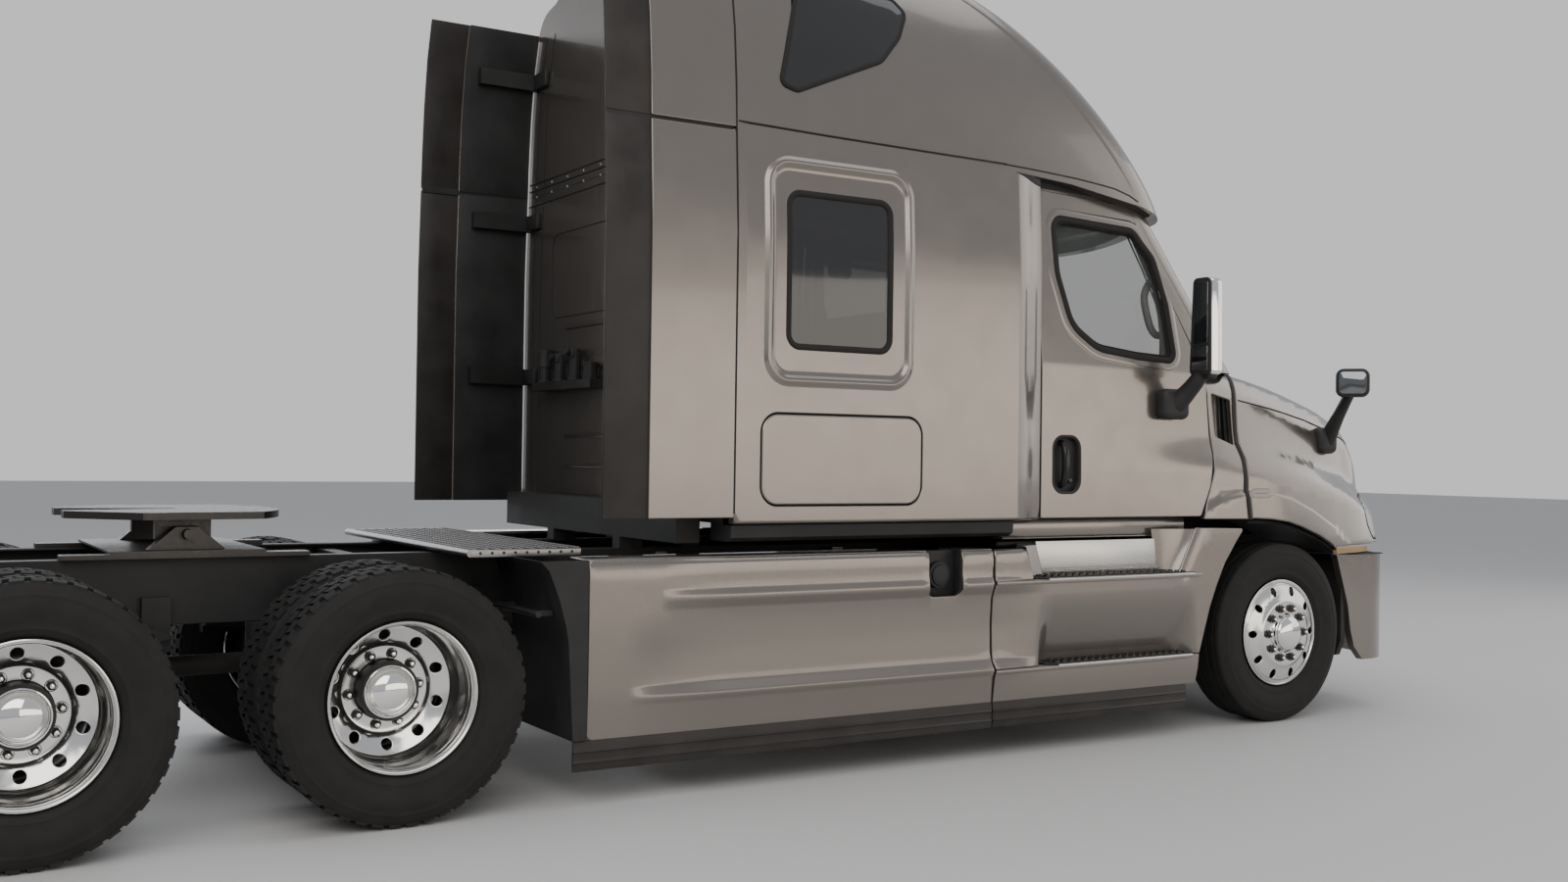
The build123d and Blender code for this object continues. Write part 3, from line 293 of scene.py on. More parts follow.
class Shape:
    """Points, faces and normals of one piece, gathered before its mesh is made."""

    def __init__(self):
        self.points = []
        self.normals = []
        self.faces = []
        self.slots = []
        self.count = 0

    def add(self, points, faces, normals=None, slot=0):
        points = np.asarray(points, dtype=float)
        self.points.append(points)
        self.normals.append(normals)
        self.faces += [tuple(int(i) + self.count for i in face) for face in faces]
        self.slots += [slot] * len(faces)
        self.count += len(points)
        return self

    def include(self, other, matrix=None, slot=None):
        """Adds another shape, moved by a matrix."""
        for points, normals in zip(other.points, other.normals):
            if matrix is not None:
                turn = np.array(matrix.to_3x3())
                points = points @ turn.T + np.array(matrix.translation)
                normals = None if normals is None else normals @ turn.T
            self.points.append(points)
            self.normals.append(normals)
        self.faces += [tuple(i + self.count for i in face) for face in other.faces]
        self.slots += [s if slot is None else slot for s in other.slots]
        self.count += other.count
        return self

    def mirrored(self):
        """The same shape on the other side of the truck."""
        other = Shape()
        flip = np.array([1.0, -1.0, 1.0])
        other.points = [p * flip for p in self.points]
        other.normals = [None if n is None else n * flip for n in self.normals]
        other.faces = [tuple(reversed(f)) for f in self.faces]
        other.slots = list(self.slots)
        other.count = self.count
        return other

    def with_mirror(self):
        return Shape().include(self).include(self.mirrored())

    def make(self, name, body, *materials, replaces=""):
        """One object that rides on a body."""
        mesh = bpy.data.meshes.new(name)
        points = np.concatenate(self.points) + np.array([AXLE_X, 0.0, 0.0])
        mesh.from_pydata(points.tolist(), [], self.faces)
        mesh.polygons.foreach_set("use_smooth", [True] * len(mesh.polygons))
        mesh.polygons.foreach_set("material_index", self.slots)
        for material in materials:
            mesh.materials.append(material)
        if any(n is None for n in self.normals):
            mesh.set_sharp_from_angle(angle=SHARP_ANGLE)
        else:
            mesh.normals_split_custom_set_from_vertices(np.concatenate(self.normals).tolist())
        mesh.update()
        slot = GIVEN_NAMES[materials[0].name]
        present(mesh, body, STANDS_FOR.get(slot, slot), replaces)

    def make_both(self, *description, **settings):
        """One object with this shape on both sides of the truck."""
        both = self.with_mirror()
        both.make(*description, **settings)

    def make_pair(self, name, body, *materials, replaces=""):
        """Two objects, whose names, bodies and replaced nodes end in the side."""
        for side, shape in (("_left", self), ("_right", self.mirrored())):
            shape.make(name + side, body + side, *materials, replaces=replaces and replaces + side)


def present(mesh, body, slot, replaces):
    piece = bpy.data.objects.new(mesh.name, mesh)
    bpy.context.collection.objects.link(piece)
    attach(piece, body)
    if replaces:
        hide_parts(replaces)
    return piece


def unit(vectors):
    return vectors / np.maximum(np.linalg.norm(vectors, axis=-1, keepdims=True), 1e-12)


def rounded(points, radii, step=0.03, turn=12.0):
    """A closed loop with round corners: straight runs cut to at most step, arcs to at most turn degrees."""
    points = [np.array(p, dtype=float) for p in points]
    if not hasattr(radii, "__len__"):
        radii = [radii] * len(points)
    corners = []
    for i, corner in enumerate(points):
        before, after = points[i - 1], points[(i + 1) % len(points)]
        into, out = unit(before - corner), unit(after - corner)
        angle = math.acos(max(-1.0, min(1.0, float(into @ out))))
        radius = radii[i]
        if radius <= 0 or angle > math.radians(179):
            corners.append([corner])
            continue
        longest = 0.49 * min(np.linalg.norm(before - corner), np.linalg.norm(after - corner))
        reach = min(radius / math.tan(angle / 2), longest)
        radius = reach * math.tan(angle / 2)
        centre = corner + unit(into + out) * (radius / math.sin(angle / 2))
        start, end = corner + into * reach - centre, corner + out * reach - centre
        sweep = math.pi - angle
        count = max(2, int(math.ceil(math.degrees(sweep) / turn)))
        arc = []
        for k in range(count + 1):
            t = k / count
            point = math.sin((1 - t) * sweep) * start + math.sin(t * sweep) * end
            arc.append(centre + point / math.sin(sweep))
        corners.append(arc)
    loop = []
    for i, arc in enumerate(corners):
        loop += arc
        gap = corners[(i + 1) % len(corners)][0] - arc[-1]
        cuts = int(np.linalg.norm(gap) / step)
        loop += [arc[-1] + gap * (k / (cuts + 1)) for k in range(1, cuts + 1)]
    return np.array(loop)


def signed_area(loop):
    x, y = loop[:, 0], loop[:, 1]
    return 0.5 * float(np.sum(x * np.roll(y, -1) - np.roll(x, -1) * y))


def outward(loop):
    """Unit normals of a loop, away from its inside."""
    along = unit(np.roll(loop, -1, axis=0) - np.roll(loop, 1, axis=0))
    normals = np.stack([along[:, 1], -along[:, 0]], axis=1)
    return normals if signed_area(loop) > 0 else -normals


def grown(loop, distance):
    return loop + outward(loop) * distance


def inside(points, loop):
    """Which points lie inside a closed loop."""
    x, y = points[:, 0][:, None], points[:, 1][:, None]
    x0, y0 = loop[:, 0][None, :], loop[:, 1][None, :]
    x1, y1 = np.roll(loop[:, 0], -1)[None, :], np.roll(loop[:, 1], -1)[None, :]
    crosses = (y0 > y) != (y1 > y)
    with np.errstate(divide="ignore", invalid="ignore"):
        reach = (x1 - x0) * (y - y0) / (y1 - y0) + x0
    return (np.sum(crosses & (x < reach), axis=1) % 2) == 1


def distance_to(points, loop, closed=True):
    """Distance from each point to a polyline."""
    ends = np.roll(loop, -1, axis=0) if closed else loop[1:]
    starts = loop if closed else loop[:-1]
    best = np.full(len(points), 1e9)
    for a, b in zip(starts, ends):
        along = b - a
        t = np.clip(((points - a) @ along) / max(float(along @ along), 1e-12), 0.0, 1.0)
        best = np.minimum(best, np.linalg.norm(points - a - t[:, None] * along, axis=1))
    return best


def inside_distance(points, loop):
    """Distance to a loop, positive inside it."""
    return np.where(inside(points, loop), 1.0, -1.0) * distance_to(points, loop)


def smooth(t):
    t = np.clip(t, 0.0, 1.0)
    return t * t * (3 - 2 * t)


def triangulated(loops, lines, step, keep):
    """Constrained triangles over closed loops and open lines, with inner points a step apart."""
    chunks, edges, count = [], [], 0
    for loop in loops:
        n = len(loop)
        chunks.append(loop)
        edges += [(count + i, count + (i + 1) % n) for i in range(n)]
        count += n
    for line in lines:
        n = len(line)
        chunks.append(line)
        edges += [(count + i, count + i + 1) for i in range(n - 1)]
        count += n
    fixed = np.concatenate(chunks)
    low, high = fixed.min(axis=0), fixed.max(axis=0)
    columns, rows = [np.arange(a + step / 2, b, step) for a, b in zip(low, high)]
    grid = np.stack(np.meshgrid(columns, rows), axis=-1).reshape(-1, 2)
    grid[:, 0] += np.where((np.round((grid[:, 1] - low[1]) / step).astype(int) % 2) == 0, 0.0, step / 2)
    grid = grid[keep(grid)]
    clear = np.full(len(grid), True)
    for line, closed in [(loop, True) for loop in loops] + [(line, False) for line in lines]:
        clear &= distance_to(grid, line, closed) > step * 0.45
    points = np.concatenate([fixed, grid[clear]])
    out = delaunay_2d_cdt([Vector(p) for p in points], edges, [], 0, 1e-6)
    verts = np.array([tuple(v) for v in out[0]])
    triangles = np.array(out[2])
    middles = verts[triangles].mean(axis=1)
    triangles = triangles[keep(middles)]
    index = {}
    for new, olds in enumerate(out[3]):
        for old in olds:
            index[old] = new
    ids, start = [], 0
    for loop in loops:
        ids.append([index[start + i] for i in range(len(loop))])
        start += len(loop)
    a, b, c = verts[triangles[:, 0]], verts[triangles[:, 1]], verts[triangles[:, 2]]
    turn = (b[:, 0] - a[:, 0]) * (c[:, 1] - a[:, 1]) - (b[:, 1] - a[:, 1]) * (c[:, 0] - a[:, 0])
    triangles[turn < 0] = triangles[turn < 0][:, ::-1]
    return verts, triangles, ids


def panel(lift, outline, holes=(), lines=(), step=0.06, edge=0.005, flange=0.02, hole_flange=None):
    """A pressed panel: its outline and holes have rolled edges and a flange turned inwards.

    lift(points, depth) places flat points on the surface, depth below it. lines are closed or open
    feature lines that the triangles follow.
    """
    loops = [grown(outline, -edge)] + [grown(hole, edge) for hole in holes]

    def keep(points):
        kept = inside(points, loops[0])
        for hole in loops[1:]:
            kept &= ~inside(points, hole)
        return kept

    verts, triangles, ids = triangulated(loops, lines, step, keep)
    shape = Shape()
    eps = 1e-4

    def normal(points):
        du = lift(points + [eps, 0], 0.0) - lift(points - [eps, 0], 0.0)
        dv = lift(points + [0, eps], 0.0) - lift(points - [0, eps], 0.0)
        return unit(np.cross(du, dv))

    top = lift(verts, 0.0)
    normals = normal(verts)
    # Triangles run anticlockwise in the flat; the lifted normal says which way they face.
    a, b, c = top[triangles[:, 0]], top[triangles[:, 1]], top[triangles[:, 2]]
    facing = np.sum(np.cross(b - a, c - a) * normals[triangles[:, 0]])
    if facing < 0:
        triangles = triangles[:, ::-1]
    out_sign = 1.0 if lift(verts[:1], 0.01)[0] @ normals[0] < top[0] @ normals[0] else -1.0
    normals = normals * out_sign
    if out_sign < 0:
        triangles = triangles[:, ::-1]
    shape.add(top, triangles, normals)
    for k, (loop, loop_ids) in enumerate(zip(loops, ids)):
        depth_of_flange = flange if k == 0 or hole_flange is None else hole_flange
        away = outward(loop) * (1 if k == 0 else -1)
        rows, row_normals = [], []
        base_normals = normals[loop_ids]
        side = unit(lift(loop + away * 1e-3, 0.0) - lift(loop, 0.0))
        for turn in (0.0, 30.0, 60.0, 90.0):
            t = math.radians(turn)
            rows.append(lift(loop + away * (edge * math.sin(t)), edge * (1 - math.cos(t))))
            row_normals.append(unit(base_normals * math.cos(t) + side * math.sin(t)))
        rows.append(lift(loop + away * edge, depth_of_flange))
        row_normals.append(side)
        n = len(loop)
        points = np.concatenate(rows)
        faces = []
        for r in range(len(rows) - 1):
            for i in range(n):
                j = (i + 1) % n
                faces.append((r * n + i, (r + 1) * n + i, (r + 1) * n + j, r * n + j))
        quad = points[list(faces[0])]
        face_normal = np.cross(quad[1] - quad[0], quad[2] - quad[1])
        if face_normal @ row_normals[0][0] < 0:
            faces = [tuple(reversed(f)) for f in faces]
        shape.add(points, faces, np.concatenate(row_normals))
    return shape


def lathe(profile, centre, segments=64):
    """A ring turned about a line along Y, from (offset along Y, radius) points."""
    angles = TAU * np.arange(segments) / segments
    rows = []
    for y, r in profile:
        x, z = centre[0] + r * np.cos(angles), centre[2] + r * np.sin(angles)
        rows.append(np.stack([x, np.full(segments, centre[1] + y), z], axis=1))
    return sheet_of(rows, closed=True)


def sheet_of(rows, closed=False, slot=0, flip=False):
    """A surface through rows of points."""
    rows = np.asarray(rows, dtype=float)
    m, n = rows.shape[:2]
    faces = []
    for r in range(m - 1):
        for i in range(n if closed else n - 1):
            j = (i + 1) % n
            face = (r * n + i, r * n + j, (r + 1) * n + j, (r + 1) * n + i)
            faces.append(tuple(reversed(face)) if flip else face)
    return Shape().add(rows.reshape(-1, 3), faces, slot=slot)


def from_bmesh(bm, slot=0):
    bm.verts.index_update()
    points = [tuple(v.co) for v in bm.verts]
    faces = [[v.index for v in f.verts] for f in bm.faces]
    bm.free()
    return Shape().add(points, faces, slot=slot)


def box(low, high, radius, segments=3):
    """A box with rolled edges."""
    bm = bmesh.new()
    bmesh.ops.create_cube(bm, size=1.0)
    low, high = Vector(low), Vector(high)
    for v in bm.verts:
        v.co = Vector([low[i] + (high[i] - low[i]) * (v.co[i] + 0.5) for i in range(3)])
    bmesh.ops.bevel(bm, geom=bm.edges[:], offset=radius, segments=segments, profile=0.5, affect="EDGES")
    return from_bmesh(bm)


def tube(path, radius, sides=10, slot=0, smooth_turns=0):
    """A round bar along a path, its corners rounded by repeated cutting; radius may be a list along it."""
    path = np.array(path, dtype=float)
    for _ in range(smooth_turns):
        cut = [path[0]]
        for a, b in zip(path[:-1], path[1:]):
            cut += [a * 0.75 + b * 0.25, a * 0.25 + b * 0.75]
        path = np.array(cut + [path[-1]])
    radii = radius if hasattr(radius, "__len__") else [radius] * len(path)
    if len(radii) != len(path):
        radii = np.interp(np.linspace(0, 1, len(path)), np.linspace(0, 1, len(radii)), radii)
    tangents = unit(np.gradient(path, axis=0))
    side = np.cross(tangents[0], [0.0, 0.0, 1.0])
    if np.linalg.norm(side) < 1e-3:
        side = np.cross(tangents[0], [0.0, 1.0, 0.0])
    side = unit(side)
    rows = []
    angles = TAU * np.arange(sides) / sides
    for point, tangent, r in zip(path, tangents, radii):
        side = unit(side - tangent * (side @ tangent))
        other = np.cross(tangent, side)
        rows.append([point + r * (math.cos(a) * side + math.sin(a) * other) for a in angles])
    shape = sheet_of(rows, closed=True, slot=slot)
    last = (len(rows) - 1) * sides
    shape.faces += [tuple(range(sides))[::-1], tuple(range(last, last + sides))]
    shape.faces = [tuple(reversed(f)) for f in shape.faces]
    shape.slots += [slot, slot]
    return shape


def extruded(outline, low, high, axis="y", bevel=0.0, slot=0):
    """A flat outline pushed along an axis; its points are (x, z) for y, (y, z) for x and (x, y) for z."""
    bm = bmesh.new()
    ends = []
    for along in (low, high):
        ring = np.insert(np.array(outline, dtype=float), "xyz".index(axis), along, axis=1)
        ends.append([bm.verts.new(point) for point in ring])
        bm.faces.new(ends[-1])
    for i in range(len(outline)):
        bm.faces.new((ends[0][i - 1], ends[0][i], ends[1][i], ends[1][i - 1]))
    bmesh.ops.recalc_face_normals(bm, faces=bm.faces[:])
    if bevel > 0:
        sharp = [e for e in bm.edges if e.calc_face_angle(0) > 0.6]
        bmesh.ops.bevel(bm, geom=sharp, offset=bevel, segments=2, profile=0.5, affect="EDGES")
    return from_bmesh(bm, slot)


EASED_ANGLE, EASED_SMOOTH, FLAT_ANGLE = math.radians(28.0), math.radians(32.0), math.radians(0.5)


def eased_copy(node, width, segments=2, front_of=None, without=None):
    """A copy of a solid with its sharp edges rolled, which stands for it.

    front_of drops what lies behind an x; without drops a box on each side, as x, half width and z ranges.
    """
    bm = bmesh.new()
    bm.from_mesh(frame["nodes"][node].data)
    bmesh.ops.remove_doubles(bm, verts=bm.verts[:], dist=2e-5)

    def bisect(place, normal, **settings):
        geometry = bm.verts[:] + bm.edges[:] + bm.faces[:]
        bmesh.ops.bisect_plane(bm, geom=geometry, plane_co=place, plane_no=normal, **settings)

    if front_of is not None:
        bisect(at(front_of), (-1.0, 0.0, 0.0), dist=1e-5, clear_outer=True)
    if without is not None:
        (x_low, x_high), (y_low, y_high), (z_low, z_high) = without
        for x in (x_low, x_high):
            bisect(at(x), (1, 0, 0), dist=1e-6)
        for y in (y_low, -y_low):
            bisect(at(0, y), (0, 1, 0), dist=1e-6)
        for z in (z_low, z_high):
            bisect(at(0, 0, z), (0, 0, 1), dist=1e-6)
        dropped = []
        for face in bm.faces:
            x, y, z = face.calc_center_median()
            if at(x_low).x < x < at(x_high).x and y_low < abs(y) < y_high and z_low < z < z_high:
                dropped.append(face)
        bmesh.ops.delete(bm, geom=dropped, context="FACES")
    bmesh.ops.dissolve_limit(bm, angle_limit=FLAT_ANGLE, verts=bm.verts[:], edges=bm.edges[:])
    edges = [e for e in bm.edges if len(e.link_faces) == 2 and e.calc_face_angle(0.0) > EASED_ANGLE]
    settings = {"profile": 0.5, "affect": "EDGES", "clamp_overlap": True}
    bmesh.ops.bevel(bm, geom=edges, offset=width, segments=segments, **settings)
    mesh = bpy.data.meshes.new(node + "_eased")
    bm.to_mesh(mesh)
    bm.free()
    mesh.polygons.foreach_set("use_smooth", [True] * len(mesh.polygons))
    mesh.set_sharp_from_angle(angle=EASED_SMOOTH)
    mesh.materials.clear()
    mesh.materials.append(SLOT_MATERIALS[SLOT_OF[node]])
    weight = present(mesh, BODY_OF[node], SLOT_OF[node], node).modifiers.new("weight", "WEIGHTED_NORMAL")
    weight.keep_sharp = True
    weight.mode = "FACE_AREA"


def spread(low, high, step):
    """Evenly spaced values with both ends, at most step apart."""
    return np.linspace(low, high, max(2, int(math.ceil(abs(high - low) / step)) + 1))


def beside(line, distance, closed=True):
    """A line moved sideways: outwards for a closed one, to the left of an open one."""
    if closed:
        return grown(line, distance)
    along = unit(np.gradient(line, axis=0))
    return line + np.stack([-along[:, 1], along[:, 0]], axis=1) * distance


def bead(lift, line, low, high, height, sink=0.004, closed=True, steps=8, fullness=0.6):
    """A rounded strip along a line on a surface, from low to high beside it."""
    rows = []
    for k in range(steps + 1):
        t = k / steps
        depth = sink - (height + sink) * math.sin(math.pi * t) ** fullness
        rows.append(lift(beside(line, low + (high - low) * t, closed), depth))
    rows = np.array(rows)
    ab, ac = rows[1, 0] - rows[0, 0], rows[0, 1] - rows[0, 0]
    outside = rows[steps // 2, 0] - lift(line[:1], sink + 0.01)[0]
    return sheet_of(rows, closed, flip=float(np.cross(ac, ab) @ outside) < 0)


def level_lines(zs, x_low, x_high, radius, step=0.05):
    """Level lines beside each height in a list, so that a rolled crease there is well shaped."""
    xs = spread(x_low, x_high, step)
    levels = [z + d * radius for z in zs for d in (-1.0, -0.4, 0.4, 1.0)]
    return [np.stack([xs, np.full(len(xs), level)], axis=1) for level in levels]


def soft_interp(z, zs, ys, radius):
    """Interpolation with its corners rounded."""
    return sum(np.interp(z + radius * d, zs, ys) for d in (-1.0, -0.6, -0.2, 0.2, 0.6, 1.0)) / 6


def side_lift(width, out=0.0):
    """Lifts (x, z) points to the truck's left side, whose half width is a function of x and z."""
    def lift(points, depth):
        x, z = points[:, 0], points[:, 1]
        return np.stack([x, width(x, z) + out - depth, z], axis=1)

    return lift


def sunk(lift, distance):
    """The same lift, that much further in."""
    def lower(points, depth):
        return lift(points, depth + distance)

    return lower


def upright(x, low, high, step):
    """An upright line of flat points."""
    zs = spread(low, high, step)
    return np.stack([np.full(len(zs), x), zs], axis=1)


def closed_line(loop):
    return np.vstack([loop, loop[:1]])


def divided(points, step):
    """Points along an open line, about a step apart."""
    points = np.asarray(points, dtype=float)
    result = []
    for a, b in zip(points[:-1], points[1:]):
        count = max(1, int(np.linalg.norm(b - a) / step))
        result += [a + (b - a) * k / count for k in range(count)]
    return result + [points[-1]]


# Sides of the sleeper and the cab

SLEEPER_REAR, CAB_REAR = -3.62, -1.797
BODY_BOTTOM, ROOF_SPLIT = 1.16, 2.905
WINDOW_BEAD = rounded([(-3.488, 1.772), (-2.652, 1.772), (-2.652, 2.818), (-3.488, 2.818)], 0.14, 0.035, 7.5)
BEAD_WIDTH, BEAD_HEIGHT, WINDOW_RECESS = 0.062, 0.013, 0.004
SLEEPER_WINDOW = rounded([(-3.35, 1.955), (-2.79, 1.955), (-2.79, 2.65), (-3.35, 2.65)], 0.06, 0.04, 10)
WINDOW_BLIND = rounded([(-3.13, 2.28), (-3.0, 2.28), (-3.0, 2.45), (-3.13, 2.45)], 0.03, 0.03)
LUGGAGE_DOOR = rounded([(-3.49, 1.24), (-2.595, 1.24), (-2.595, 1.657), (-3.49, 1.657)], 0.09, 0.04, 7.5)
LEAN_START, LEAN_SLOPE, LEAN_EASE = 2.45, 0.025 / 0.455, 0.003
TURN_START, TURN_LENGTH, TURN_DEPTH = -2.015, 0.225, 0.072


def sleeper_y(x, z):
    """Half width of the sleeper, with its turn in to the cab."""
    rise = z - LEAN_START
    lean = LEAN_SLOPE * (np.sqrt(rise * rise + LEAN_EASE) + rise) / 2
    return 1.22 - lean - TURN_DEPTH * smooth((x - TURN_START) / TURN_LENGTH)


def pressed_sleeper_y(x, z):
    """As sleeper_y, with the pressed bead round the window and the sill's tuck-in."""
    depth = inside_distance(np.stack([x, z], axis=1), WINDOW_BEAD)
    ridge = np.sin(np.pi * np.clip(depth / BEAD_WIDTH, 0.0, 1.0)) ** 2 * BEAD_HEIGHT
    recess = WINDOW_RECESS * smooth((depth - BEAD_WIDTH * 0.8) / (BEAD_WIDTH * 0.4))
    tuck = 0.012 * smooth((BODY_BOTTOM + 0.018 - z) / 0.018) ** 2
    return sleeper_y(x, z) + ridge - recess - tuck


def make_sleeper_sides():
    """Skins, luggage lids, seals and panes of the sleeper, with the roof's window."""
    lift = side_lift(pressed_sleeper_y)
    outline = [(SLEEPER_REAR, BODY_BOTTOM), (CAB_REAR, BODY_BOTTOM), (CAB_REAR, 2.85), (-2.01, 2.885),
               (-2.07, 2.915), (-3.14, 2.926), (SLEEPER_REAR, 2.934)]
    outline = rounded(outline, [0.006, 0.004, 0.004, 0.03, 0.03, 0.2, 0.004], 0.05)
    lines = [closed_line(grown(WINDOW_BEAD, -BEAD_WIDTH * k / 8)) for k in range(0, 11)]
    for x in np.arange(TURN_START - 0.02, CAB_REAR - 0.02, 0.02):
        lines.append(upright(x, BODY_BOTTOM + 0.07, 2.84, 0.08))
    lines += level_lines([BODY_BOTTOM + 0.014], SLEEPER_REAR + 0.03, CAB_REAR - 0.02, 0.004)
    skin = panel(lift, outline, [SLEEPER_WINDOW, LUGGAGE_DOOR], lines, 0.07, 0.005, 0.045)
    skin.make_both("sleeper_side_skins", "chassis", PAINT, replaces="sleeper_sides")
    lid = panel(side_lift(sleeper_y, 0.0012), grown(LUGGAGE_DOOR, -0.006), [], [], 0.07, 0.008, 0.028)
    lid.make_pair("luggage_lid", "luggage_door", PAINT, replaces="luggage_door")
    dark = panel(side_lift(sleeper_y, -0.034), grown(LUGGAGE_DOOR, 0.02), [], [], 0.2, 0.002, 0.01)
    dark.make_both("luggage_seals", "chassis", RUBBER)

    bead(lift, SLEEPER_WINDOW, -0.016, 0.017, 0.007).make_both("sleeper_window_seals", "chassis", RUBBER)
    blind = panel(side_lift(sleeper_y, -0.024), WINDOW_BLIND, [], [], 0.1, 0.004, 0.004)
    blind.make_both("window_blinds", "chassis", TRIM)
    pane = panel(side_lift(sleeper_y, -0.009), grown(SLEEPER_WINDOW, -0.006), [], [], 0.15, 0.003, 0.006)
    roof_lift = side_lift(roof_side_y, ROOF_WINDOW_OUT)
    roof_pane = panel(roof_lift, grown(ROOF_WINDOW, -0.004), [], [], 0.12, 0.003, 0.005)
    glass = pane.with_mirror().include(roof_pane.with_mirror())
    glass.make("sleeper_panes", "chassis", DARK_GLASS, replaces="sleeper_glass")
    bead(roof_lift, ROOF_WINDOW, -0.014, 0.012, 0.004).make_both("roof_window_seals", "chassis", RUBBER)


# The roof fairing's side as (z, half width behind the corner, corner start x, y)
ROOF_SIDE = np.array([
    (2.7, 1.197, -1.08, 1.15), (2.85, 1.196, -1.13, 1.128), (3.1, 1.186, -1.31, 1.09),
    (3.35, 1.164, -1.56, 1.055), (3.61, 1.122, -1.9, 1.005), (3.81, 1.06, -2.26, 0.93),
    (3.915, 0.96, -2.6, 0.83), (3.96, 0.8, -3.0, 0.68),
])
ROOF_WINDOW = rounded([(-3.383, 3.14), (-3.292, 3.12), (-2.8, 3.335), (-2.675, 3.475), (-2.615, 3.605),
                       (-2.68, 3.668), (-3.24, 3.7)], [0.035, 0.045, 0.1, 0.1, 0.045, 0.06, 0.04], 0.04, 10)
# How far the roof's window stands out from roof_side_y, clear of the skin's bulge
ROOF_WINDOW_OUT = 0.0085


def roof_side_y(x, z):
    """Half width of the roof fairing along its nearly flat side."""
    rows = [np.interp(z, ROOF_SIDE[:, 0], ROOF_SIDE[:, k]) for k in (1, 2, 3)]
    share = np.clip((x - SLEEPER_REAR) / (rows[1] - SLEEPER_REAR), 0.0, 1.0)
    return rows[0] + (rows[2] - rows[0]) * share


# Half width of the cab below the belt, by x: at the sill, the shoulder, above it and at the belt
CAB_X = (-1.8, -1.15, -0.32)
CAB_SILL, CAB_SHOULDER = (1.15, 1.152, 1.19), (1.15, 1.151, 1.184)
CAB_ABOVE, CAB_BELT = (1.149, 1.143, 1.136), (1.148, 1.138, 1.124)
BELT, DOOR_TOP = 1.95, 2.87
DOOR = [(-1.79, 1.167), (-1.79, 2.843), (-1.12, 2.826), (-1.0, 2.61), (-0.64, 2.01), (-0.59, 1.9),
        (-0.56, 1.5), (-0.59, 1.33), (-0.66, 1.167)]
DOOR_WINDOW = [(-1.69, 2.712), (-1.1, 2.695), (-0.95, 2.555), (-0.87, 2.31), (-0.825, 2.0), (-1.1, 2.01),
               (-1.4, 2.04), (-1.58, 2.15), (-1.672, 2.42)]
# How far the door handle's grip stands out, and its height
HANDLE_GRIP = ((-0.03, 1.33), (-0.004, 1.345), (0.008, 1.385), (0.011, 1.44), (0.008, 1.5), (-0.004, 1.54),
               (-0.03, 1.556))
HANDLE_BOWL = [(-1.711, 1.295), (-1.525, 1.295), (-1.525, 1.586), (-1.711, 1.586)]


def cab_y(x, z):
    """Half width of the cab's side: a rolled fender shoulder below the belt, leaning in above it."""
    sill, shoulder = np.interp(x, CAB_X, CAB_SILL), np.interp(x, CAB_X, CAB_SHOULDER)
    above, belt = np.interp(x, CAB_X, CAB_ABOVE), np.interp(x, CAB_X, CAB_BELT)
    low = sill + (shoulder - sill) * np.clip((z - BODY_BOTTOM) / 0.27, 0.0, 1.0)
    mid = above + (belt - above) * np.clip((z - 1.59) / 0.36, 0.0, 1.0)
    lower = low + (mid - low) * smooth((z - 1.4) / 0.22)
    t = (z - BELT) / (DOOR_TOP - BELT)
    start_x, start_y, rear_y = -0.48 - 0.64 * t, 1.126 - 0.078 * t, 1.148 - 0.066 * t
    upper = rear_y + (start_y - rear_y) * np.clip((x + 1.8) / (start_x + 1.8), 0.0, 1.0)
    share = smooth((z - BELT + 0.04) / 0.08)
    return lower * (1.0 - share) + upper * share


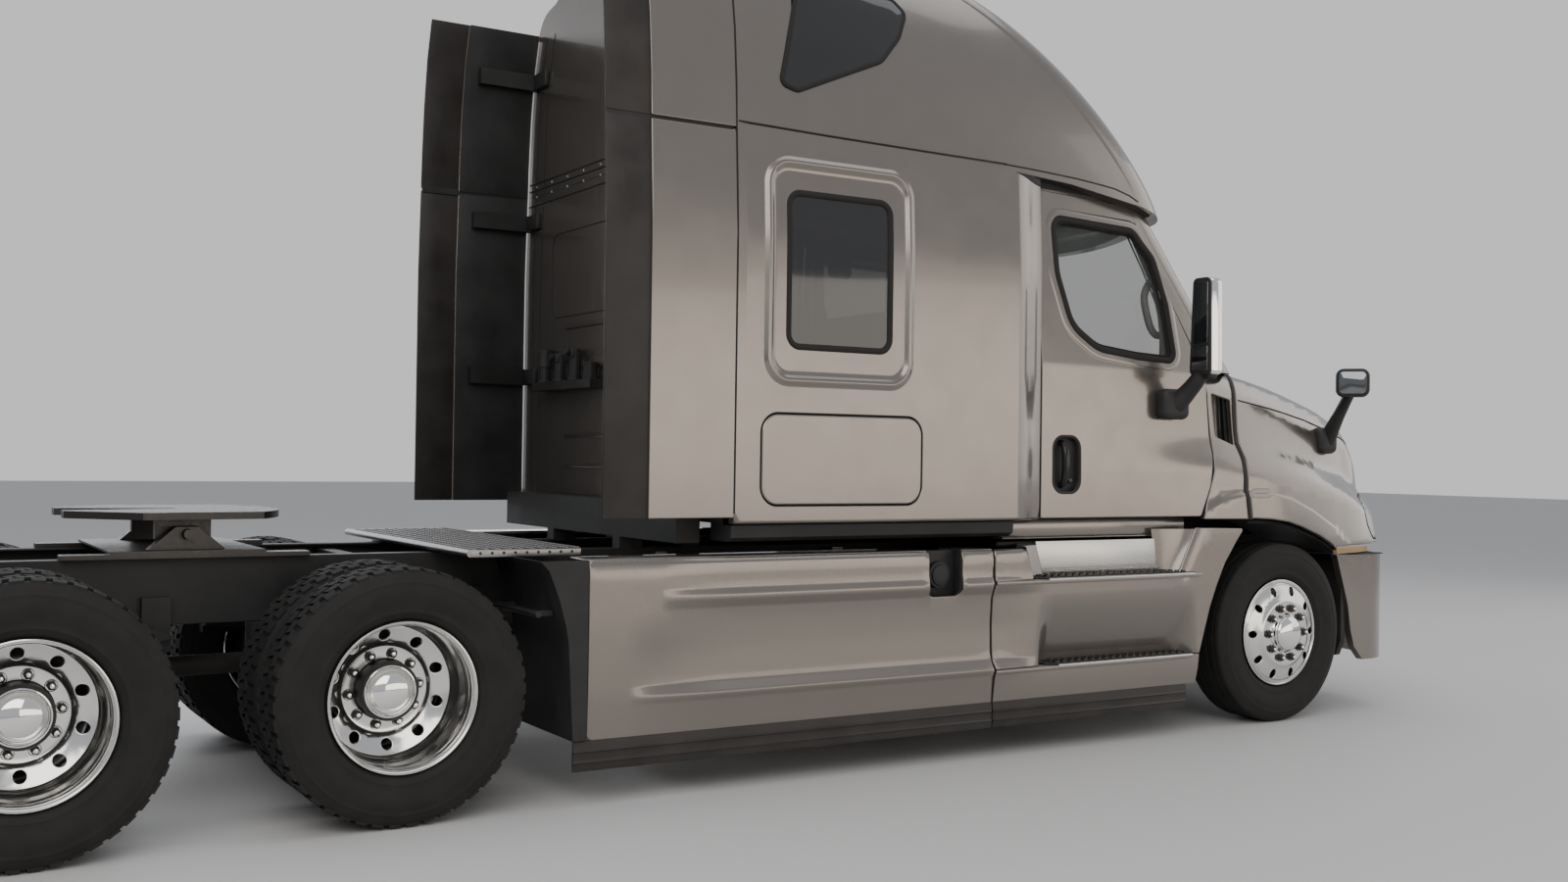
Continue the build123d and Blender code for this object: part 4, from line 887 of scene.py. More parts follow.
def make_doors():
    outline = rounded(DOOR, [0.012, 0.03, 0.05, 0.12, 0.1, 0.12, 0.15, 0.12, 0.02], 0.05, 9)
    window = rounded(DOOR_WINDOW, [0.06, 0.09, 0.12, 0.2, 0.05, 0.25, 0.25, 0.2, 0.25], 0.045, 8)
    bowl = rounded(HANDLE_BOWL, 0.065, 0.03, 10)
    frame_line = grown(window, 0.05)

    def pressed_y(x, z):
        """The frame round the window stands a little proud of the door."""
        depth = inside_distance(np.stack([x, z], axis=1), frame_line)
        return cab_y(x, z) + 0.0035 * smooth((depth + 0.004) / 0.014) + 0.003 * smooth((z - 2.6) / 0.12)

    lift = side_lift(pressed_y)
    lines = [closed_line(grown(window, d)) for d in (0.03, 0.041, 0.046, 0.05, 0.054)]
    lines += level_lines([1.42, 1.47, 1.51, 1.55, 1.6, BELT], -1.76, -0.66, 0.02, 0.06)
    skin = panel(lift, outline, [window, bowl], lines, 0.07, 0.005, 0.045, hole_flange=0.03)
    skin.make_pair("door_skin", "door", PAINT, replaces="door")
    pane = panel(side_lift(cab_y, -0.018), grown(window, 0.004), [], [], 0.12, 0.002, 0.005)
    pane.make_pair("door_pane", "door", CLEAR, replaces="door_glass")
    seal = bead(lift, window, -0.024, 0.016, 0.008, fullness=0.5)
    seal.include(bead(lift, window, -0.034, -0.022, -0.006, sink=0.02, fullness=0.8))
    seal.make_pair("door_window_seal", "door", RUBBER)

    handle = panel(side_lift(cab_y, -0.03), grown(bowl, 0.002), [], [], 0.05, 0.004, 0.01)
    handle.include(bead(lift, bowl, -0.01, 0.008, 0.005))
    y = float(cab_y(np.array([-1.64]), np.array([1.44]))[0])
    grip = [(-1.635, y + out, z) for out, z in HANDLE_GRIP]
    handle.include(tube(grip, [0.014, 0.016, 0.02, 0.02, 0.02, 0.016, 0.014], 14, 1, 2))
    lock = [(0.004, 0.0), (0.004, 0.011), (0.001, 0.015), (-0.006, 0.016)]
    handle.include(lathe(lock, (-1.575, y - 0.02, 1.36), 20), slot=1)
    handle.make_pair("door_handle", "door", BLACK, GLOSS_BLACK)

    def lining_y(x, z):
        return np.minimum(cab_y(x, z) - 0.052, np.where(z < BELT, 1.083, 1.03))

    lining = panel(side_lift(lining_y), grown(outline, -0.03), [grown(window, 0.02)], [], 0.1, 0.01, 0.02)
    lining.include(box((-1.5, 1.0, 1.62), (-0.85, 1.075, 1.69), 0.02))
    lining.make_pair("door_lining", "door", TRIM)


# Fairings between the axles

FAIRING_REAR, FAIRING_SPLIT, PANEL_GAP = -4.3, -2.13, 0.01
FAIRING_TOP, FAIRING_BOTTOM, SKIRT_BOTTOM = 1.025, 0.27, 0.145
# Sections of the fairing as height and half width, with its creases and without
TANK_PROFILE = np.array([
    (0.27, 1.196), (0.405, 1.212), (0.425, 1.222), (0.44, 1.222), (0.48, 1.186), (0.64, 1.18), (0.8, 1.188),
    (0.838, 1.216), (0.858, 1.216), (0.885, 1.204), (1.0, 1.204), (1.025, 1.18),
])
PLAIN_PROFILE = np.array([(0.27, 1.196), (0.45, 1.204), (0.7, 1.206), (0.9, 1.204), (1.0, 1.204),
                          (1.025, 1.18)])
CREASE_EASE = 0.006
# Opening over the tank's filler
FILLER_REAR, FILLER_FRONT, FILLER_BOTTOM = -2.53, -2.33, 0.8
# x where a crease starts, and how long it takes to rise: the low one, then the high one
CREASE_STARTS = ((-4.09, 0.42), (-3.96, 0.36))


def fairing_y(x, z):
    full = soft_interp(z, TANK_PROFILE[:, 0], TANK_PROFILE[:, 1], CREASE_EASE)
    plain = soft_interp(z, PLAIN_PROFILE[:, 0], PLAIN_PROFILE[:, 1], 0.02)
    share = smooth((z - 0.6) / 0.12)
    low, high = [np.sqrt(np.clip((x - start) / length, 0.0, 1.0)) for start, length in CREASE_STARTS]
    return plain + (full - plain) * (low * (1 - share) + high * share)


def make_tank_fairings():
    front, top = FAIRING_SPLIT - PANEL_GAP / 2, FAIRING_TOP - 0.005
    outline = [(FAIRING_REAR, FAIRING_BOTTOM), (front, FAIRING_BOTTOM), (front, top), (FILLER_FRONT, top),
               (FILLER_FRONT, FILLER_BOTTOM), (FILLER_REAR, FILLER_BOTTOM), (FILLER_REAR, top),
               (FAIRING_REAR, top)]
    outline = rounded(outline, [0.03, 0.006, 0.012, 0.012, 0.035, 0.035, 0.012, 0.03], 0.04)
    creases = [z for z in TANK_PROFILE[1:-1, 0] if z != 0.64]
    lines = level_lines(creases, FAIRING_REAR + 0.04, -2.57, CREASE_EASE)
    lines += level_lines([z for z in creases if z < 0.75], -2.54, front - 0.03, CREASE_EASE)
    lines += level_lines([z for z in creases if z > 0.78], -2.3, front - 0.02, CREASE_EASE)
    skin = panel(side_lift(fairing_y), outline, [], lines, 0.07, 0.005, 0.025)
    skin.include(box((FAIRING_REAR, 1.0, 1.006), (FILLER_REAR - 0.005, 1.186, 1.0235), 0.006))
    skin.include(box((FILLER_FRONT + 0.005, 1.0, 1.006), (front, 1.186, 1.0235), 0.006))
    skin.make_both("tank_fairing_skins", "chassis", PAINT, replaces="tank_fairings")

    ribs = Shape()
    rib = [(1.13, 0.28), (1.176, 0.28), (1.158, 0.65), (1.176, 0.99), (1.0, 1.0), (1.0, 0.97), (1.12, 0.94)]
    for x in np.arange(FAIRING_REAR + 0.02, front, 0.53):
        ribs.include(extruded(rib, x, x + 0.012, "x", 0.002))
    ribs.make_both("tank_fairing_ribs", "chassis", CHASSIS)

    bowl = box((FILLER_REAR - 0.005, 1.115, 0.79), (FILLER_FRONT + 0.005, 1.13, 1.02), 0.006)
    for x in (-2.537, -2.331):
        bowl.include(box((x, 1.12, 0.8), (x + 0.008, 1.186, 1.02), 0.003))
    bowl.include(box((FILLER_REAR, 1.12, 0.792), (FILLER_FRONT, 1.184, 0.8), 0.003))
    cap = [(0.0, 0.0), (0.03, 0.0), (0.034, 0.03), (0.028, 0.05), (0.02, 0.052), (0.018, 0.064),
           (-0.01, 0.066)]
    bowl.include(lathe(cap, (-2.43, 1.135, 0.9), 28))
    bowl.make_both("filler_recesses", "chassis", BLACK)


LEDGE_LOW, LEDGE_HIGH = 0.428, 0.862
# Front edge of the step fairing beside the wheel, upwards
STEP_FRONT = [(-0.619, 0.679), (-0.567, 0.797), (-0.504, 0.915), (-0.419, 1.026), (-0.356, 1.1)]
STEP_SIDE_Y, STEP_BACK_Y = 1.207, 1.108
# Front edge of the opening above the upper tread, as heights and x
OPENING_FRONT = ((LEDGE_HIGH, 1.108), (-0.845, -0.717))


def step_skin_y(x, z):
    """Side of the step fairing: it carries on the tank fairing's creases, flattened towards the wheel."""
    share = smooth((x - FAIRING_SPLIT) / 0.35)
    flat = STEP_SIDE_Y - 0.01 * smooth((0.36 - z) / 0.1)
    return fairing_y(np.full_like(x, -2.2), z) * (1 - share) + flat * share


def step_panel_y(x, z):
    """The panel between the two treads, scooped in above the lower one."""
    scoop = smooth((x + 1.86) / 0.13) * smooth((-0.70 - x) / 0.1)
    rise = 1.0 - smooth((z - LEDGE_LOW) / 0.36)
    roll = np.clip(1.0 - (x - np.interp(z, *OPENING_FRONT)) / 0.07, 0.0, 1.0) ** 2 * (z > LEDGE_HIGH - 0.003)
    return step_skin_y(x, z) - (STEP_SIDE_Y - STEP_BACK_Y) * scoop * rise - 0.02 * roll


def make_step_fairings():
    rear = FAIRING_SPLIT + PANEL_GAP / 2
    lift = side_lift(step_skin_y)
    low = [(rear, FAIRING_BOTTOM), (-0.717, FAIRING_BOTTOM), (-0.698, LEDGE_LOW), (rear, LEDGE_LOW)]
    low = rounded(low, [0.006, 0.01, 0.004, 0.004], 0.04)
    skin = panel(lift, low, [], level_lines([0.405, 0.425], rear + 0.02, -0.75, 0.005), 0.06, 0.005, 0.03)
    middle = rounded(
        [(rear, LEDGE_LOW + 0.004), (-0.698, LEDGE_LOW + 0.004), *STEP_FRONT, (-0.717, 1.108),
         (-0.845, LEDGE_HIGH), (-0.85, LEDGE_HIGH - 0.004), (rear, LEDGE_HIGH - 0.004)],
        [0.004, 0.004] + [0.15] * (len(STEP_FRONT) - 1) + [0.012, 0.015, 0.002, 0.002, 0.004], 0.035)
    lines = level_lines([0.48, 0.8, 0.838], rear + 0.02, -0.9, 0.006)
    for x in np.concatenate([np.arange(-1.88, -1.7, 0.02), np.arange(-0.84, -0.7, 0.02)]):
        lines.append(upright(x, LEDGE_LOW + 0.025, 0.79 if x < -1.0 else 0.69, 0.045))
    for d in (0.012, 0.024, 0.038, 0.054, 0.07):
        zs = spread(LEDGE_HIGH + 0.012, 1.08, 0.03)
        lines.append(np.stack([np.interp(zs, *OPENING_FRONT) + d, zs], axis=1))
    skin.include(panel(side_lift(step_panel_y), middle, [], lines, 0.045, 0.004, 0.02))
    high = [(rear, LEDGE_HIGH), (-1.873, LEDGE_HIGH), (-1.925, 1.02), (rear, 1.02)]
    high = rounded(high, [0.004, 0.012, 0.02, 0.012], 0.03)
    lines = level_lines([0.885, 1.0], rear + 0.02, -1.96, 0.005)
    skin.include(panel(lift, high, [], lines, 0.05, 0.008, 0.02))

    # Curved walls lead from the opening's two upright edges in to the kick plate.
    steps = np.linspace(0.0, 1.0, 9)
    heights = np.linspace(0.0, 1.0, 5)
    for low, top, low_in, top_in, height, ways, flip in (
            ((-1.88, 1.206), (-1.934, 1.206), (-1.71, 1.106), (-1.765, 1.106), 1.03,
             [(smooth(a * 0.85), a ** 0.6) for a in steps], True),
            ((-0.842, 1.184), (-0.719, 1.184), (-0.93, 1.106), (-0.97, 1.106), 1.1,
             [(a, a ** 0.7) for a in steps], False)):
        rows = []
        for way in ways:
            start = np.array(low) + (np.array(low_in) - low) * way
            end = np.array(top) + (np.array(top_in) - top) * way
            rise = height - LEDGE_HIGH
            rows.append([(*(start + (end - start) * k), LEDGE_HIGH + rise * k) for k in heights])
        skin.include(sheet_of(rows, flip=flip))

    # The ledges that the treads lie on run out to a point at the wheel, and carry on the creases behind.
    for z, tip in ((LEDGE_LOW, -0.70), (LEDGE_HIGH, -0.622)):
        plan = [(rear, 1.1), (tip, 1.1), (tip, STEP_SIDE_Y - 0.006), (tip - 0.12, STEP_SIDE_Y + 0.008),
                (tip - 0.26, 1.222), (-1.86, 1.223), (rear, 1.2215)]
        skin.include(extruded(plan, z - 0.02, z + 0.003, "z", 0.007))
    skin.make_both("step_fairing_skins", "chassis", PAINT, replaces="step_fairings")

    back = box((-1.9, 1.085, 0.45), (-0.74, 1.1, 1.04), 0.004)
    back.include(box((-2.0, 0.95, 1.02), (-0.62, 1.06, 1.05), 0.01))
    back.make_both("step_backing", "chassis", CHASSIS)

    plate = [(-1.745, 0.868), (-0.905, 0.868), (-0.94, 1.048), (-1.785, 1.048)]
    kick = extruded(plate, 1.103, 1.109, "y", 0.0015)
    for z in (0.892, 0.9):
        kick.include(box((-1.735, 1.106, z), (-0.915, 1.1125, z + 0.003), 0.001, 1))
    for x in (-1.7, -1.32, -0.96):
        kick.include(lathe([(0.0, 0.0), (0.002, 0.004), (0.0, 0.006)], (x, 1.111, 0.879), 10))
    kick.make_both("kick_plates", "chassis", TREAD_METAL)
    make_treads()


# Teeth on the treads: y of each row, pitch along the row, and a tooth's section as offset along it and height
TOOTH_ROWS, TOOTH_PITCH = (1.124, 1.148, 1.172, 1.192), 0.048
TOOTH = ((-0.016, 0.0), (0.016, 0.0), (0.0105, 0.011), (0.0045, 0.009), (-0.0045, 0.009), (-0.0105, 0.011))


def make_treads():
    treads = Shape()
    back, front = 1.112, 1.213
    for z, rear, end in ((LEDGE_HIGH + 0.004, -1.86, -0.765), (LEDGE_LOW + 0.004, -1.79, -0.775)):
        plan = [(rear, back), (end, back), (end + 0.03, front - 0.03), (end + 0.02, front),
                (rear + 0.06, front), (rear + 0.01, front - 0.03)]
        treads.include(extruded(plan, z, z + 0.008, "z", 0.002, slot=1))
        low, high = (rear + 0.07, front - 0.008, z - 0.009), (end + 0.01, front + 0.0135, z + 0.004)
        treads.include(box(low, high, 0.005))
        for k, y in enumerate(TOOTH_ROWS):
            for x in np.arange(rear + 0.055 + TOOTH_PITCH / 2 * (k % 2), end - 0.012, TOOTH_PITCH):
                tooth = [(x + along, z + 0.007 + up) for along, up in TOOTH]
                treads.include(extruded(tooth, y, y + 0.011, "y"), slot=2)
    treads.make_both("toothed_treads", "chassis", TREAD_METAL, BLACK, STEEL, replaces="step_treads")


SKIRT_SECTION = [
    (1.19, FAIRING_BOTTOM + 0.006), (1.196, FAIRING_BOTTOM), (1.198, 0.235), (1.204, 0.228), (1.198, 0.221),
    (1.197, 0.19), (1.203, 0.183), (1.197, 0.176), (1.195, SKIRT_BOTTOM + 0.004), (1.191, SKIRT_BOTTOM),
    (1.187, 0.2),
]
# Half width and height along the rear edge of the side extenders, below and above the roof's seam
EXTENDER_EDGES = (
    [(1.22, 1.19), (1.22, 2.45), (1.195, 2.895)],
    [(1.195, 2.91), (1.186, 3.1), (1.164, 3.35), (1.122, 3.61), (1.06, 3.81)],
)


def make_skirts():
    """Rubber skirts below the fairings, strips and linings of the side extenders, and the cab's sills."""
    strips, linings = Shape(), Shape()
    for x_low, x_high in ((-4.36, FAIRING_SPLIT - 0.005), (FAIRING_SPLIT + 0.005, -0.79)):
        strips.include(extruded(SKIRT_SECTION, x_low, x_high, "x", 0.001))
    for edge in EXTENDER_EDGES:
        for shape, out, inner, x_low, x_high, bevel in (
                (strips, 0.008, 0.022, -4.25, -4.035, 0.005),
                (linings, 0.0285, 0.0315, -4.032, SLEEPER_REAR - 0.01, 0.001)):
            section = [(y - out, z) for y, z in edge] + [(y - inner, z) for y, z in reversed(edge)]
            shape.include(extruded(section, x_low, x_high, "x", bevel))
    linings.include(box((-4.246, 1.168, 2.885), (SLEEPER_REAR - 0.01, 1.183, 2.922), 0.003, 1))
    strips.make_both("rubber_skirts", "chassis", STRIP, replaces="rubber_edges")
    linings.make_both("extender_linings", "chassis", BLACK)
    sill = [(1.0, 1.157), (1.083, 1.157), (1.0885, 1.13), (1.0875, 1.088), (1.0815, 1.07), (1.068, 1.06),
            (1.0, 1.06)]
    sills = extruded(sill, -1.991, -0.699, "x", 0.006)
    sills.include(tube([(-1.985, 1.083, 1.064), (-0.71, 1.083, 1.064)], 0.005, 8))
    sills.make_both("cab_sills", "chassis", PAINT)


# Wheels and tyres

TYRE_RADIUS, RIM_RADIUS = 0.505, 0.298
STEER_Y, OUTER_Y, INNER_Y = 1.04, 1.076, 0.733
DRIVE_AXLES = {"front": -5.07, "rear": -6.391}
HAND_HOLES, NUTS, NUT_CIRCLE = 10, 10, 0.143


def circle(radius, count):
    angles = TAU * np.arange(count) / count
    return np.stack([radius * np.cos(angles), radius * np.sin(angles)], axis=1)


def around(count, start=0.0):
    return [start + TAU * k / count for k in range(count)]


def disc(centre, radii, ys, inner, outer, holes):
    """A wheel's disc; holes is their circle's radius, half length outwards, half width and start angle."""
    def lift(points, depth):
        r = np.hypot(points[:, 0], points[:, 1])
        y = centre[1] + soft_interp(r, radii, ys, 0.0025) - depth
        return np.stack([centre[0] + points[:, 0], y, centre[2] + points[:, 1]], axis=1)

    ring, length, width, start = holes
    cut = [circle(inner, 36)]
    for a in around(HAND_HOLES, start):
        out, side = circle(1.0, 18).T * np.array([[length], [width]])
        out = out + ring
        turned = [out * math.cos(a) - side * math.sin(a), out * math.sin(a) + side * math.cos(a)]
        cut.append(np.stack(turned, axis=1))
    lines = [closed_line(circle(r, 72)) for r in radii[1:-1] if inner + 0.008 < r < ring - length - 0.008]
    return panel(lift, circle(outer, 72), cut, lines, 0.022, 0.003, 0.012)


def nuts(centre, y, size=0.019, height=0.027, start=0.1):
    """Flanged nuts in the third material, on studs in the second."""
    shape = Shape()
    flange = [(0.006, size + 0.004), (0.003, size + 0.006), (0.0, size + 0.006)]
    nut = [(height, 0.0), (height, size * 0.72), (height - 0.004, size), (0.0, size)]
    stud = [(height + 0.009, 0.0), (height + 0.008, 0.007), (height + 0.004, 0.01), (height, 0.01)]
    for a in around(NUTS, start):
        place = (centre[0] + NUT_CIRCLE * math.cos(a), centre[1] + y, centre[2] + NUT_CIRCLE * math.sin(a))
        for profile, sides, slot in ((flange, 18, 2), (nut, 6, 2), (stud, 12, 1)):
            shape.include(lathe(profile, place, sides), slot=slot)
    return shape


def rim(centre, out, start):
    """The barrel of a rim from a depth below its face, over the lip and back inside the tyre."""
    half, r = 0.114, RIM_RADIUS
    profile = [(start, 0.2765), (0.03, 0.2765), (0.05, 0.277), (0.058, 0.279), (0.066, 0.279),
               (0.074, 0.2775), (half - 0.022, 0.278), (half - 0.012, 0.28), (half - 0.003, 0.284),
               (half + 0.003, 0.2885), (half + 0.006, r - 0.005), (half + 0.005, r - 0.001),
               (half + 0.001, r), (half - 0.004, r - 0.001), (half - 0.008, r - 0.008),
               (half - 0.012, r - 0.014), (-half + 0.012, r - 0.016), (-half + 0.006, r - 0.008), (-half, r),
               (-half - 0.005, r - 0.004), (-half, r - 0.013)]
    if out < 0:
        profile = [(-y, radius) for y, radius in reversed(profile)]
    return lathe(profile, centre, 72)


# The front wheel, as offset along the axle and radius: disc, its rolled edge, hub cap and drum
STEER_RADII = (0.112, 0.15, 0.174, 0.181, 0.187, 0.194, 0.201, 0.209, 0.235, 0.258, 0.272)
STEER_OUT = (0.158, 0.158, 0.159, 0.1595, 0.1575, 0.1515, 0.147, 0.1445, 0.139, 0.1315, 0.1245)
STEER_HOLES = (0.2405, 0.0275, 0.02, 0.0)
STEER_EDGE = [(0.125, 0.2703), (0.1225, 0.275), (0.1185, 0.279), (0.113, 0.2815), (0.108, 0.2825)]
STEER_CAP = [(0.2145, 0.0), (0.214, 0.02), (0.212, 0.04), (0.2085, 0.058), (0.203, 0.075), (0.196, 0.088),
             (0.189, 0.0955), (0.184, 0.098), (0.18, 0.0985), (0.178, 0.1015), (0.174, 0.104),
             (0.163, 0.1055), (0.157, 0.1125)]
STEER_DRUM = [(0.012, 0.04), (0.02, 0.12), (0.02, 0.2), (0.0, 0.205), (-0.09, 0.205), (-0.096, 0.2),
              (-0.096, 0.048)]
# The twin wheels: outer dish, its rolled edge, the hub's ring and dome, then the inner disc and drum
DRIVE_RADII = (0.118, 0.15, 0.17, 0.176, 0.181, 0.186, 0.195, 0.22, 0.245, 0.255, 0.262)
DRIVE_OUT = (-0.149, -0.149, -0.149, -0.1475, -0.143, -0.1375, -0.1335, -0.1235, -0.112, -0.1065, -0.1)
DRIVE_HOLES = (0.219, 0.0225, 0.0225, 0.35)
DRIVE_EDGE = [(-0.1015, 0.26), (-0.094, 0.2645), (-0.08, 0.2665), (-0.066, 0.2665), (-0.058, 0.2695),
              (-0.052, 0.2745), (-0.044, 0.2765)]
DRIVE_RING = [(-0.06, 0.1), (-0.06, 0.114), (-0.066, 0.1175), (-0.146, 0.119), (-0.15, 0.126)]
DRIVE_DOME = [(-0.0115, 0.0), (-0.0122, 0.018), (-0.0145, 0.036), (-0.0185, 0.053), (-0.0245, 0.068),
              (-0.0325, 0.081), (-0.043, 0.0915), (-0.053, 0.0975), (-0.0585, 0.1), (-0.0595, 0.1045),
              (-0.063, 0.106)]
DRIVE_BACK = [(0.149, 0.12), (0.149, 0.17), (0.13, 0.2), (0.114, 0.24), (0.1, 0.262), (0.08, 0.2765)]
DRIVE_DRUM = [(0.15, 0.11), (0.147, 0.16), (0.097, 0.155), (0.097, 0.198), (0.09, 0.205), (-0.026, 0.205),
              (-0.033, 0.2), (-0.033, 0.095)]


def steer_wheel():
    """Disc with oval hand holes, dark nuts in line with them and a chrome cap."""
    centre = (0.0, STEER_Y, TYRE_RADIUS)
    shape = disc(centre, STEER_RADII, STEER_OUT, STEER_RADII[0], 0.27, STEER_HOLES)
    shape.include(lathe(STEER_EDGE, centre, 72))
    shape.include(rim(centre, 1, 0.08))
    shape.include(nuts(centre, STEER_OUT[0], start=0.0))
    shape.include(lathe(STEER_CAP, centre, 56), slot=1)
    return shape.include(lathe(STEER_DRUM, centre, 48), slot=2)


def drive_wheel(x):
    """A deep outer dish with its chrome hub cap, and the inner wheel and drum behind it."""
    outer, inner = (x, OUTER_Y, TYRE_RADIUS), (x, INNER_Y, TYRE_RADIUS)
    shape = disc(outer, DRIVE_RADII, DRIVE_OUT, DRIVE_RADII[0], 0.26, DRIVE_HOLES)
    shape.include(lathe(DRIVE_EDGE, outer, 72))
    shape.include(rim(outer, 1, -0.045))
    shape.include(nuts(outer, DRIVE_OUT[0], size=0.0165, height=0.024))
    shape.include(lathe(DRIVE_RING, outer, 56), slot=3)
    shape.include(lathe(DRIVE_DOME, outer, 64), slot=1)
    shape.include(rim(inner, -1, -0.08))
    shape.include(lathe(DRIVE_BACK, inner, 64))
    return shape.include(lathe(DRIVE_DRUM, inner, 48), slot=2)


# Half a tyre's section, as offset along the axle and radius: sidewall, crown with ribs, band under blocks
SIDEWALL = [
    (0.098, 0.2835), (0.0995, 0.3), (0.104, 0.3035), (0.112, 0.3065), (0.1205, 0.317), (0.1275, 0.33),
    (0.1302, 0.3335), (0.1295, 0.3375), (0.1345, 0.36), (0.139, 0.38), (0.1422, 0.402), (0.1424, 0.412),
    (0.1412, 0.43), (0.138, 0.447), (0.1388, 0.45), (0.1368, 0.4535), (0.1335, 0.466), (0.1285, 0.479),
    (0.1235, 0.488),
]
RIB_CROWN = [(0.1205, 0.4945), (0.1165, 0.4995), (0.1115, 0.5022)]
BLOCK_CROWN = [(0.1195, 0.4925), (0.1, 0.4925)]
# A groove's section, as offset beside its middle and depth below the tread
GROOVE = ((0.0065, 0.0012), (0.005, 0.003), (0.0035, 0.014), (-0.0035, 0.014), (-0.005, 0.003),
          (-0.0065, 0.0008))
# Rows of blocks: from y, to y, how far each block is skewed, and its share of the pitch
BLOCK_ROWS = ((0.066, 0.1235, 0.012, 0.68), (0.008, 0.059, -0.02, 0.82), (-0.059, -0.008, -0.02, 0.82),
              (-0.1235, -0.066, 0.012, 0.68))
BLOCKS = 46
BLOCK_FACES = [(0, 1, 3, 2), (4, 6, 7, 5), (1, 5, 7, 3), (0, 4, 5, 1), (2, 3, 7, 6)]


def tyre_shape(centre, blocks):
    """A tyre with round ribs, or with blocks on a bare band."""
    half = SIDEWALL + (BLOCK_CROWN if blocks else RIB_CROWN)
    if not blocks:
        for y in (0.086, 0.036):
            half = half + [(y + aside, TYRE_RADIUS - below) for aside, below in GROOVE]
    shape = lathe(half + [(-y, r) for y, r in reversed(half)], centre, 96)
    if blocks:
        for row, (low, high, skew, share) in enumerate(BLOCK_ROWS):
            for a in around(BLOCKS, 0.07 * row):
                shape.add(block_points(centre, a, low, high, skew, share), BLOCK_FACES)
    return shape


def block_points(centre, angle, low, high, skew, share):
    pitch = TAU / BLOCKS * share / 2
    points = []
    for y in (low, high):
        edge = abs(y) > 0.12
        for side in (-1, 1):
            turn = angle + side * pitch + skew * (y - (low + high) / 2) / (high - low)
            for r in (0.478 if edge else 0.49, TYRE_RADIUS - (0.006 if edge else 0.0)):
                points.append((centre[0] + r * math.cos(turn), centre[1] + y, centre[2] + r * math.sin(turn)))
    return points


def make_wheels():
    metals = [ALUMINIUM, CHROME, IRON, BLACK]
    steer_wheel().make_pair("steer_wheel", "front_wheel", *metals, replaces="front_wheel")
    tyre = tyre_shape((0.0, STEER_Y, TYRE_RADIUS), False)
    tyre.make_pair("steer_tyre", "front_wheel", TYRE, replaces="front_tyre")
    for place, x in DRIVE_AXLES.items():
        body = "drive_wheels_" + place
        drive_wheel(x).make_pair("drive_rims_" + place, body, *metals, replaces="drive_wheel_" + place)
        tyres = tyre_shape((x, OUTER_Y, TYRE_RADIUS), True)
        tyres.include(tyre_shape((x, INNER_Y, TYRE_RADIUS), True))
        tyres.make_pair("drive_treads_" + place, body, TYRE, replaces="drive_tyres_" + place)


# Cowl and bonnet: half widths and heights of the section at each x, from the sill to the middle
HOOD_X = np.array([-0.66, -0.32, 0.1, 0.5, 0.85, 1.08, 1.19])
HOOD_ROWS = np.array([
    # low y, fender y and z, valley y and z, bonnet side y and z, shoulder y and z, crown z
    (1.1744, 1.1705, 1.43, 1.139, 1.59, 1.131, 1.88, 1.085, 1.965, 2.01),
    (1.19, 1.184, 1.4, 1.128, 1.59, 1.1, 1.83, 1.0, 1.965, 2.01),
    (1.2, 1.19, 1.36, 1.07, 1.54, 1.03, 1.77, 0.92, 1.915, 1.965),
    (1.172, 1.15, 1.29, 0.99, 1.46, 0.945, 1.69, 0.84, 1.84, 1.89),
    (1.095, 1.065, 1.21, 0.9, 1.38, 0.86, 1.61, 0.765, 1.755, 1.8),
    (0.985, 0.95, 1.15, 0.83, 1.3, 0.8, 1.5, 0.715, 1.655, 1.7),
    (0.86, 0.83, 1.11, 0.76, 1.22, 0.74, 1.4, 0.66, 1.555, 1.6),
])
HOOD_BOTTOM, HOOD_FRONT, HOOD_EASE = 0.985, 1.186, 0.038
# Lines on the bonnet, as x and height
ARCH_LINE = [(-0.127, 1.146), (0.012, 1.13), (0.128, 1.101), (0.282, 1.051), (0.38, 1.01),
             (0.425, HOOD_BOTTOM)]
# Upper edge of the flare round the arch, which starts at the door's lower corner
FLARE_LINE = np.array([
    (-0.71, 1.1), (-0.652, 1.187), (-0.598, 1.225), (-0.506, 1.269), (-0.382, 1.291), (-0.274, 1.296),
    (-0.127, 1.291), (0.035, 1.264), (0.228, 1.193), (0.445, 1.094), (0.591, 1.007), (0.66, 0.96),
])
FLARE_DEPTH, FLARE_WIDTH = 0.014, 0.026
BONNET_SEAM = np.array([(-0.33, 1.815), (0.058, 1.772), (0.45, 1.72), (0.79, 1.657), (1.0, 1.61),
                        (1.124, 1.57)])
HEADLAMP = [(0.89, 1.262), (1.0, 1.285), (1.12, 1.25), (1.172, 1.17), (1.172, 1.03), (1.06, 1.008),
            (0.955, 1.015), (0.885, 1.1), (0.862, 1.19)]


def curve(x, xs, rows):
    """Smooth interpolation between rows of values."""
    slopes = np.gradient(rows, xs, axis=0)
    k = np.clip(np.searchsorted(xs, x) - 1, 0, len(xs) - 2)
    span = (xs[k + 1] - xs[k])[:, None]
    t = ((x - xs[k]) / (xs[k + 1] - xs[k]))[:, None]
    a, b, da, db = rows[k], rows[k + 1], slopes[k] * span, slopes[k + 1] * span
    return a + da * t + (3 * (b - a) - 2 * da - db) * t ** 2 + (2 * (a - b) + da + db) * t ** 3


